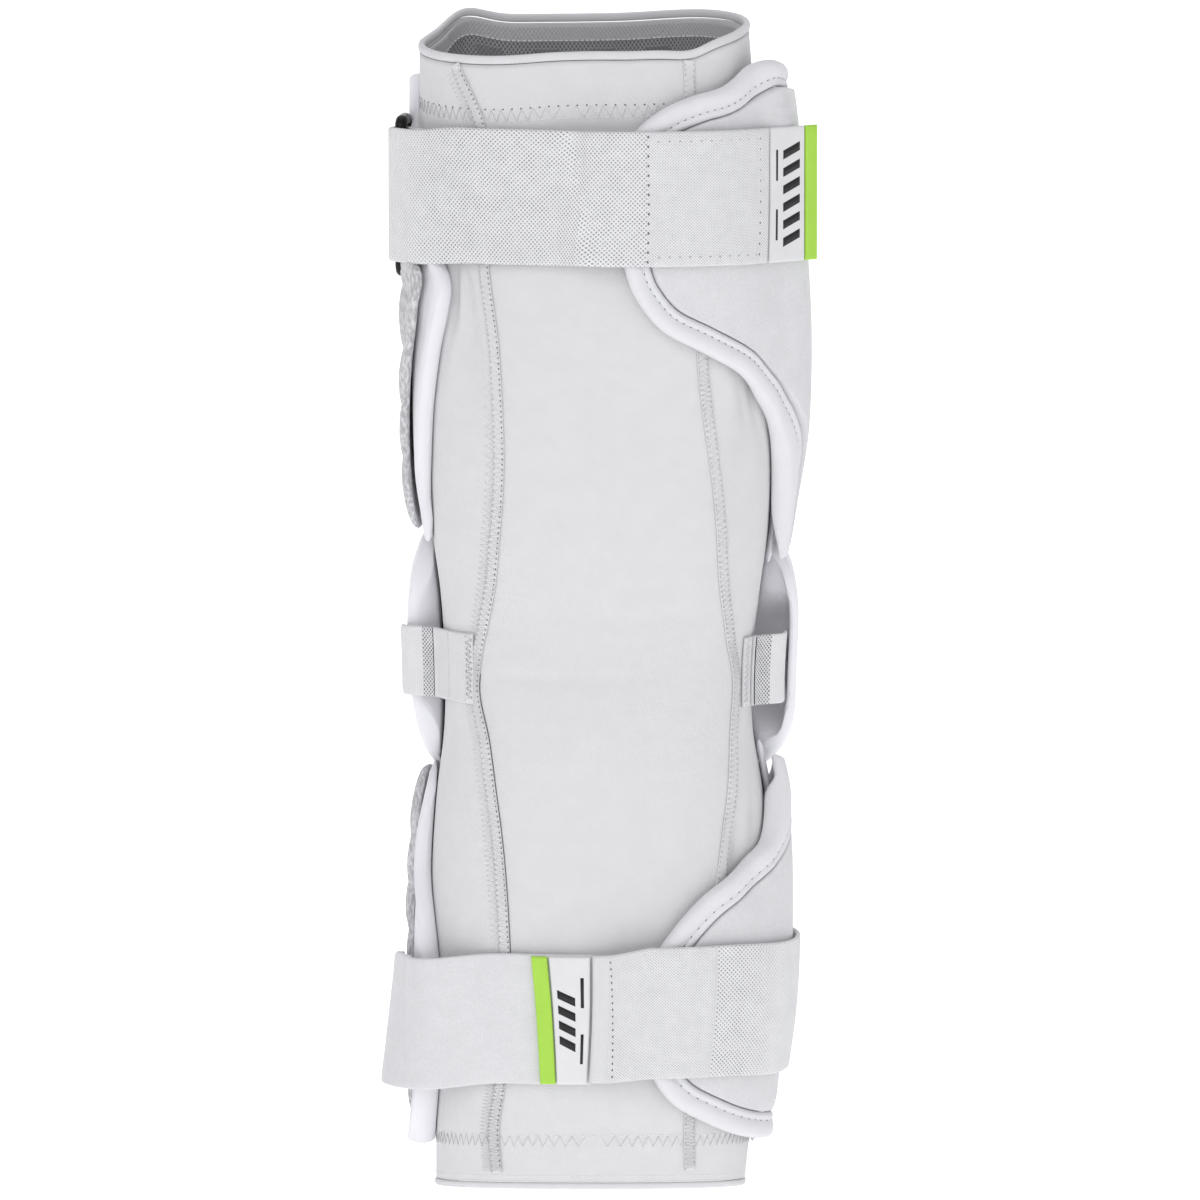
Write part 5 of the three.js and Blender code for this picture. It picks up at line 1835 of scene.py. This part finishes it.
class Straps(Piecework):
    """Ring, keeper, the two elastic straps with their pull ends, and the landing panel."""

    width: float = 48
    thickness: float = 1.8
    edge: float = 0.9
    rows: int = 26
    upper: float = 164.5
    lower: float = -129
    ring_wire: float = 4.4
    ring_height: float = 58
    ring_reach: float = 17
    ring_stand: float = 7.4
    ring_turn: float = -88
    keeper_thickness: float = 1.6
    bend_past: float = 25
    elastic_end: float = 66.5
    lean: float = 0.25
    rise: float = 2.4

    def make(self) -> None:
        """Makes every piece of webbing and its trim."""
        self.ring()
        self.keeper()
        self.upper_strap()
        self.lower_strap()
        self.panel()
        for end in (self.upper_end(), self.lower_end()):
            self.pull(end)

    def leaning(self, turn: Grid) -> Grid:
        """How much the upper strap's columns lean to stay upright in front.

        Args:
            turn: degrees round the arm.

        Returns:
            Degrees for each millimetre up.
        """
        return lerp(0.16, self.lean, smoothstep(turn, 22, 58))

    def frame(self) -> tuple[Grid, Grid, Grid]:
        """Middle, outward direction and direction across the bars of the ring.

        Returns:
            Three vectors.
        """
        middle = self.arm.skin(self.ring_turn, self.upper, self.ring_stand)
        out = middle - self.arm.skin(self.ring_turn, self.upper)
        out = out / np.linalg.norm(out)
        return middle, out, np.array([-out[1], out[0], 0])

    def ring(self) -> None:
        """Makes the black ring: a wire loop with rounded corners."""
        middle, out, across = self.frame()
        corner = (self.ring_height - self.ring_wire - self.width) / 2 - 0.3
        half = np.array([self.ring_reach / 2, (self.ring_height - self.ring_wire) / 2]) - corner
        angle, path = np.linspace(0, math.pi / 2, 9), []
        signs = [(1, 1), (-1, 1), (-1, -1), (1, -1)]
        for k, (x, z) in enumerate(signs):
            a = angle + k * math.pi / 2
            bend = np.stack([x * half[0] + corner * np.cos(a), z * half[1] + corner * np.sin(a)], -1)
            to = np.array([signs[(k + 1) % 4][0] * half[0] + corner * math.cos(a[-1]),
                           signs[(k + 1) % 4][1] * half[1] + corner * math.sin(a[-1])])
            path += [bend, bend[-1] + (to - bend[-1]) * np.linspace(0, 1, 9)[1:-1, None]]
        flat = np.concatenate(path)
        points = middle + flat[:, :1] * across + flat[:, 1:] * np.array([0, 0, 1])
        along = np.roll(points, -1, 0) - np.roll(points, 1, 0)
        along /= np.linalg.norm(along, axis=1, keepdims=True)
        side = np.cross(along, out)
        turn = np.linspace(0, 2 * math.pi, 17)[:-1]
        wire = self.ring_wire / 2
        rings = (points[:, None] + wire * np.cos(turn)[None, :, None] * out
                 + wire * np.sin(turn)[None, :, None] * side[:, None])
        n, sides = rings.shape[:2]
        at = lambda i, k: (i % n) * sides + k % sides
        faces = [(at(i, k), at(i, k + 1), at(i + 1, k + 1), at(i + 1, k))
                 for i in range(n) for k in range(sides)]
        mesh = bpy.data.meshes.new("ring_wire")
        mesh.from_pydata((rings.reshape(-1, 3) * MM).tolist(), [], faces)
        self.tailor.hang("ring_wire", mesh, [self.wardrobe.black], "ring", ["strap_ring"])

    def bend(self, bar: Grid, radius: float, sense: int, steps: int = 18) -> Grid:
        """Points of a bend about one bar of the ring, from its inner side to past its outer side.

        Args:
            bar: a point on the bar.
            radius: radius of the bend.
            sense: which way round.
            steps: number of points.

        Returns:
            The points.
        """
        _, out, _ = self.frame()
        tangent = np.array([-out[1], out[0], 0]) * sense
        angle = (math.pi + math.radians(self.bend_past)) * np.linspace(0, 1, steps) - math.pi / 2
        return bar + radius * (np.sin(angle)[:, None] * out + np.cos(angle)[:, None] * tangent)

    def levels(self, middle: float, height: float, rows: int, radius: float) -> Grid:
        """Heights across a band, closer together at its edges.

        Args:
            middle: height of its middle line.
            height: its height.
            rows: rows between the edges.
            radius: rounding of the edges.

        Returns:
            The heights.
        """
        return middle + height * (Patch(100, height, 4, rows, radius).shares()[1][0] - 0.5)

    def keeper(self) -> None:
        """Makes the webbing that holds the ring to the pad."""
        middle, _, across = self.frame()
        half = self.keeper_thickness / 2
        bend = self.bend(middle - across * self.ring_reach / 2, self.ring_wire / 2 + 0.6 + half, 1)[::-1]
        turns = np.linspace(-107, -115, 7)
        columns = []
        for level in self.levels(self.upper, WEBBING, 14, 0.8):
            lift = self.layers.pad_rise(turns, np.full_like(turns, level)) + 2.5 + half
            near, far = (self.arm.skin(turns, level, lift + extra) for extra in (0, 1.9))
            row = np.concatenate([far[::-1], bend, near])
            row[:, 2] = level
            columns.append(row)
        outer, inner = self.ribbon(np.stack(columns, 1), self.keeper_thickness,
                                   Patch(60, WEBBING, 30, 14, 0.8))
        self.tailor.piece("ring_keeper_webbing", outer, inner, [self.wardrobe.webbing], "elastic",
                          ["ring_keeper"])

    def upper_strap(self) -> None:
        """Makes the upper elastic: round the ring's front bar and across the arm to its pull end."""
        middle, _, across = self.frame()
        half = self.thickness / 2
        bend = self.bend(middle + across * self.ring_reach / 2, self.ring_wire / 2 + 0.6 + half, -1)
        first, steps = -66.0, 110
        turns = np.linspace(first, self.elastic_end, steps)
        doubled = smoothstep(turns, 17.2, 18.2) * 0.5
        leaning = self.leaning(turns) * smoothstep(turns, first + 24, 0)
        columns = []
        for level in self.levels(self.upper, self.width, self.rows, self.edge):
            back = self.arm.skin(np.linspace(-60, -68, 5), level, 1.7 + half)
            z = lerp(middle[2], level, smoothstep(turns, first, first + 24))
            leant = turns + leaning * (level - self.upper)
            base = self.layers.strap(UPPER_LIE, leant, self.upper)
            over = self.arm.skin(leant, z, base + half + doubled / 2)
            row = np.concatenate([back, bend, over])
            row[:, 2] = level + 0.8
            row[-steps:, 2] = level + lerp(0.8, self.rise, smoothstep(turns, first, -35))
            columns.append(row)
        paths = np.stack(columns, 1)
        thickness = np.full(len(paths), self.thickness)
        thickness[-steps:] += doubled
        outer, inner = self.ribbon(paths, thickness, Patch(160, self.width, 100, self.rows, self.edge))
        zone = np.zeros(len(paths), int)
        zone[-steps:] = turns > 17.8
        finishes = [self.wardrobe.coarse, self.wardrobe.fine]
        self.tailor.piece("upper_strap_elastic", outer, inner, finishes, "elastic", ["upper_strap"],
                          zone=zone)
        rise, side = np.linspace(-20.5, 20.5, 60), np.linspace(22, 60, 60)

        def stitches(turn: Grid, up: Grid) -> tuple[Grid, Grid]:
            turn = turn + self.leaning(turn) * up
            lift = self.layers.strap(UPPER_LIE, turn, self.upper) + self.thickness
            return self.line(turn, self.upper + self.rise + up, lift + 0.5)

        # The stitch rows are dots of painted shade for the needle holes; the edge rows are fainter.
        for part, rows, pitch, finish in (
                ("box", [stitches(np.full(60, 61.5), rise)], 3.6, self.wardrobe.painted_shade),
                ("edge", [stitches(side, np.full(60, up)) for up in (20.5, -20.5)], 3.6,
                 self.wardrobe.faint_shade),
                ("join", [stitches(np.full(60, 18.6), rise * 1.08)], 3.4, self.wardrobe.painted_shade)):
            self.sewing.row(f"upper_strap_{part}_stitches", rows, pitch, (0.95, 0.75, 0.3), finish,
                            "elastic")

    def lower_strap(self) -> None:
        """Makes the lower elastic from its pull end to its root at the right."""
        width = self.width - 1
        patch = Patch(125, width, 110, self.rows, self.edge)
        u, v = patch.shares()
        turn = lerp(-1.4, 116, u)
        middle = self.lower + lerp(0.6, 3.2, smoothstep(turn, -1, 14)) - 1.6 * smoothstep(turn, 40, 75)
        z = middle + (width + 1.4 * smoothstep(turn, -1, 14)) * (v - 0.5)
        base = self.layers.strap(LOWER_LIE, turn, self.lower)
        crease = 0.45 * np.exp(-((turn - 35.4) / 0.8) ** 2)
        ridge = 0.55 * np.exp(-((turn + 0.2) / 1.0) ** 2)
        thick = self.thickness + 0.45 * (1 - smoothstep(turn, 34.6, 36.2)) - crease + ridge
        half = thick / 2 * patch.round(u, v)
        outer, inner = (self.arm.skin(turn, z, base + thick / 2 + sign * half) for sign in (1, -1))
        zone = np.searchsorted([0.7, 35.2], turn[:-1, 0])
        finishes = [self.wardrobe.band, self.wardrobe.fine, self.wardrobe.coarse_low]
        self.tailor.piece("lower_strap_elastic", outer, inner, finishes, "elastic", ["lower_strap"],
                          zone=zone)
        rise, side = np.linspace(-21, 21, 60), 2.6 - 0.03 * np.linspace(-21, 21, 60)
        lift = self.layers.strap(LOWER_LIE, side, self.lower) + self.thickness + 0.42
        rows = [self.line(side, self.lower + 0.9 + rise, lift)]
        # The stitch dots are painted shade of the needle holes.
        self.sewing.row("lower_strap_stitches", rows, 2.4, (1.0, 0.7, 0.3), self.wardrobe.painted_shade, "elastic")

    def panel(self) -> None:
        """Makes the brushed panel that the lower strap lands on, folded at its left side."""
        patch = Patch(98, self.width, 90, self.rows, self.edge)
        u, v = patch.shares()
        turn = lerp(-106.0, -1.0, u)
        tuck = 1 - 0.14 * smoothstep(-turn, 86, 97)
        z = self.lower + self.width * (v - 0.5) * tuck - 3.6 * smoothstep(-turn, 25, 75)
        slant = (7.5 * (0.5 - v) - 1.0) * np.exp(-((turn + 84) / 16) ** 2)
        fold = 0.7 * np.exp(-((turn + 73 + 4 * (v - 0.5)) / 2.2) ** 2)
        sag = 0.5 * np.sin(math.pi * v) * smoothstep(turn, -60, -40) * smoothstep(turn, -20, -34)
        base = self.layers.strap(PANEL_LIE, turn, self.lower) + slant - fold
        half = self.thickness / 2 * patch.round(u, v)
        outer, inner = (self.arm.skin(turn, z, base + self.thickness / 2 + sag + sign * half)
                        for sign in (1, -1))
        piece = self.tailor.piece("landing_cloth", outer, inner, [self.wardrobe.brushed], "padding",
                                  ["landing_panel"])

    def upper_end(self) -> PullEnd:
        """Lays out the upper end, which leaves the arm straight and stays upright.

        Returns:
            The end.
        """
        def root(z: Grid, back: float = 0.0) -> Grid:
            level = np.asarray(z, float) - self.rise
            turn = self.elastic_end - back + self.lean * (level - self.upper)
            return self.arm.skin(turn, level, self.layers.strap(UPPER_LIE, turn, self.upper))

        middle = self.upper + self.rise
        first = root(middle)
        ahead = first - root(middle, 3.0)
        angle = min(math.atan2(ahead[1], ahead[0]), math.radians(46))
        along = np.array([math.cos(angle), math.sin(angle), 0])
        out = np.array([math.sin(angle), -math.cos(angle), 0])

        def place(distance: Grid, z: Grid, lift: Grid) -> Grid:
            distance, z, lift = np.broadcast_arrays(distance, z, lift)
            start = root(z)
            x = lerp(start[..., 0], first[0], smoothstep(distance, 0, 8))
            base = np.stack([x, start[..., 1], z], -1)
            return base + distance[..., None] * along + lift[..., None] * out

        tab_end, tip_start, tip_end = (
            (x - first[0] - self.thickness * out[0]) / along[0] for x in (73.1, 73.5, 77.8))
        return PullEnd("upper", place, True, middle, self.width, (0.5, tab_end), (tip_start, tip_end), 6.2, 6)

    def lower_end(self) -> PullEnd:
        """Lays out the lower end, whose free edge leans.

        Returns:
            The end.
        """
        height = self.width - 1

        def place(distance: Grid, z: Grid, lift: Grid) -> Grid:
            lean = -3.4 * (z - self.lower) / height * np.clip(distance / 12.6, 0, 1)
            turn = -1.9 - 0.873 * distance + lean
            return self.arm.skin(turn, z, self.layers.strap(LOWER_LIE, turn, self.lower) + lift)

        return PullEnd("lower", place, False, self.lower, height, (0.0, 11.4), (11.9, 17.8), 5.6, 4)

    def pull(self, end: PullEnd) -> None:
        """Makes a coated pull tab with plain marks and its bright tip.

        Args:
            end: the strap's end.
        """
        for part, (start, stop), finish in (("tab", end.tab, self.wardrobe.tab),
                                            ("tip", end.tip, self.wardrobe.lime)):
            patch = Patch(stop - start, end.height, 16, 30, 0.8)
            u, v = patch.shares()
            along = lerp(start, stop, u if end.with_turn else 1 - u)
            z = end.middle + end.height * (v - 0.5)
            half = self.thickness / 2 * patch.round(u, v)
            outer, inner = (end.place(along, z, self.thickness / 2 + sign * half) for sign in (1, -1))
            self.tailor.piece(f"{end.name}_pull_{part}_coated", outer, inner, [finish], "pull_" + part,
                              [f"{end.name}_pull_{part}"])
        self.marks(end)

    def marks(self, end: PullEnd) -> None:
        """Prints plain slanted bars and two thin strokes on a tab.

        Args:
            end: the strap's end.
        """
        near, size = end.tab[0], end.tab[1] - end.tab[0]
        places = end.middle + end.bar_step * (np.arange(end.bar_count) - (end.bar_count - 1) / 2)
        bars = [(near + size * 0.6, z, size * 0.24, 1.5, 3.1) for z in places]
        bars += [(near + size * 0.18, end.middle + sign * end.height * 0.22, 0.45, 0.0, 11.0)
                 for sign in (-1, 1)]
        points, polygons = [], []
        u, v = np.meshgrid(np.linspace(0, 1, 9), np.array([-0.5, 0.5]), indexing="ij")
        swing = 2 * (u if end.with_turn else 1 - u) - 1
        for middle, height, reach, rise, stroke in bars:
            along, z = middle + reach * swing, height + rise * swing + stroke * v
            faces = [end.place(along, z, self.thickness + lift) for lift in (0.06, -0.25)]
            mesh = self.tailor.closed("mark", *faces, False)[0]
            base = len(points)
            points += [tuple(vertex.co) for vertex in mesh.vertices]
            polygons += [[base + k for k in polygon.vertices] for polygon in mesh.polygons]
            bpy.data.meshes.remove(mesh)
        joined = bpy.data.meshes.new(end.name + "_tab_marks")
        joined.from_pydata(points, [], polygons)
        self.tailor.hang(end.name + "_tab_marks", joined, [self.wardrobe.ink], "pull_tab")


@dataclass(frozen=True)
class Studio:
    """Pale seamless floor, soft lights and the camera of the photograph."""

    floor: float = -0.262
    floor_start: float = -7.0
    floor_end: float = 4.2
    bend: float = 1.0
    wall: float = 4.0
    reach: float = 8.0
    glow: float = 0.56
    distance: float = 3.5
    elevation: float = 7.0
    target: float = 0.0185
    lens: float = 291.67
    ambient: float = 0.513

    def make(self) -> None:
        """Makes the floor, lights, world and camera."""
        self.backdrop()
        self.light("key_light", (-1.1, -2.6, 1.6), 2.2, 24.8)
        self.light("fill_light", (1.9, -2.0, 0.5), 2.0, 9.1)
        self.light("top_light", (0.1, 0.4, 2.3), 1.6, 7.4)
        self.world()
        self.camera()
        view = bpy.context.scene.view_settings
        view.view_transform = "Standard"
        view.look = "None"

    def backdrop(self) -> None:
        """Makes the floor that curves up into a wall."""
        angle = np.linspace(0, math.pi / 2, 17)
        profile = [(self.floor_start, self.floor), (self.floor_end, self.floor)]
        profile += [(self.floor_end + self.bend * math.sin(a), self.floor + self.bend * (1 - math.cos(a)))
                    for a in angle[1:]]
        profile.append((self.floor_end + self.bend, self.floor + self.wall))
        points = [(x, y, z) for y, z in profile for x in (-self.reach, self.reach)]
        faces = [(2 * k, 2 * k + 1, 2 * k + 3, 2 * k + 2) for k in range(len(profile) - 1)]
        mesh = bpy.data.meshes.new("studio_floor")
        mesh.from_pydata(points, [], faces)
        mesh.polygons.foreach_set("use_smooth", [True] * len(faces))
        graph = Graph("studio_paper", (0.95, 0.95, 0.95), 0.9)
        graph.feed(graph.shader.inputs["Emission Color"], (1, 1, 1, 1))
        graph.feed(graph.shader.inputs["Emission Strength"], self.glow)
        graph.bump(graph.noise(graph.place(False), 6), 0.1, 0.2)
        mesh.materials.append(graph.material)
        floor = bpy.data.objects.new("studio_floor", mesh)
        bpy.context.scene.collection.objects.link(floor)

    @staticmethod
    def light(name: str, place: tuple[float, float, float], size: float, power: float) -> None:
        """Adds a soft square light that faces the object.

        Args:
            name: its name.
            place: where it stands.
            size: its side in metres.
            power: its power in watts.
        """
        data = bpy.data.lights.new(name, "AREA")
        data.size, data.energy = size, power
        lamp = bpy.data.objects.new(name, data)
        lamp.location = place
        lamp.rotation_euler = (-Vector(place)).to_track_quat("-Z", "Y").to_euler()
        bpy.context.scene.collection.objects.link(lamp)

    def world(self) -> None:
        """Adds even light from all round."""
        world = bpy.data.worlds.new("studio_world")
        world.use_nodes = True
        back = world.node_tree.nodes["Background"]
        back.inputs["Color"].default_value = (0.96, 0.96, 1, 1)
        back.inputs["Strength"].default_value = self.ambient
        bpy.context.scene.world = world

    def camera(self) -> None:
        """Adds the camera."""
        data = bpy.data.cameras.new("camera")
        data.lens, data.sensor_width = self.lens, 36
        data.clip_start, data.clip_end = 0.1, 50
        camera = bpy.data.objects.new("camera", data)
        angle = math.radians(self.elevation)
        back = Vector((0, -math.cos(angle), math.sin(angle)))
        camera.location = Vector((0, 0, self.target)) + back * self.distance
        camera.rotation_euler = (-back).to_track_quat("-Z", "Y").to_euler()
        bpy.context.scene.collection.objects.link(camera)
        bpy.context.scene.camera = camera


def main() -> None:
    """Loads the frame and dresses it."""
    logging.basicConfig(level=logging.INFO, format="%(name)s: %(message)s")
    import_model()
    layers = Layers(Arm())
    tailor = Tailor()
    shared = (layers, Wardrobe(), tailor, Sewing(tailor))
    for part in (Sleeve, Padding, Flaps, Cap, Straps):
        part(*shared).make()
        LOG.info("%s made", part.__name__)
    Studio().make()


if __name__ == "__main__":
    main()
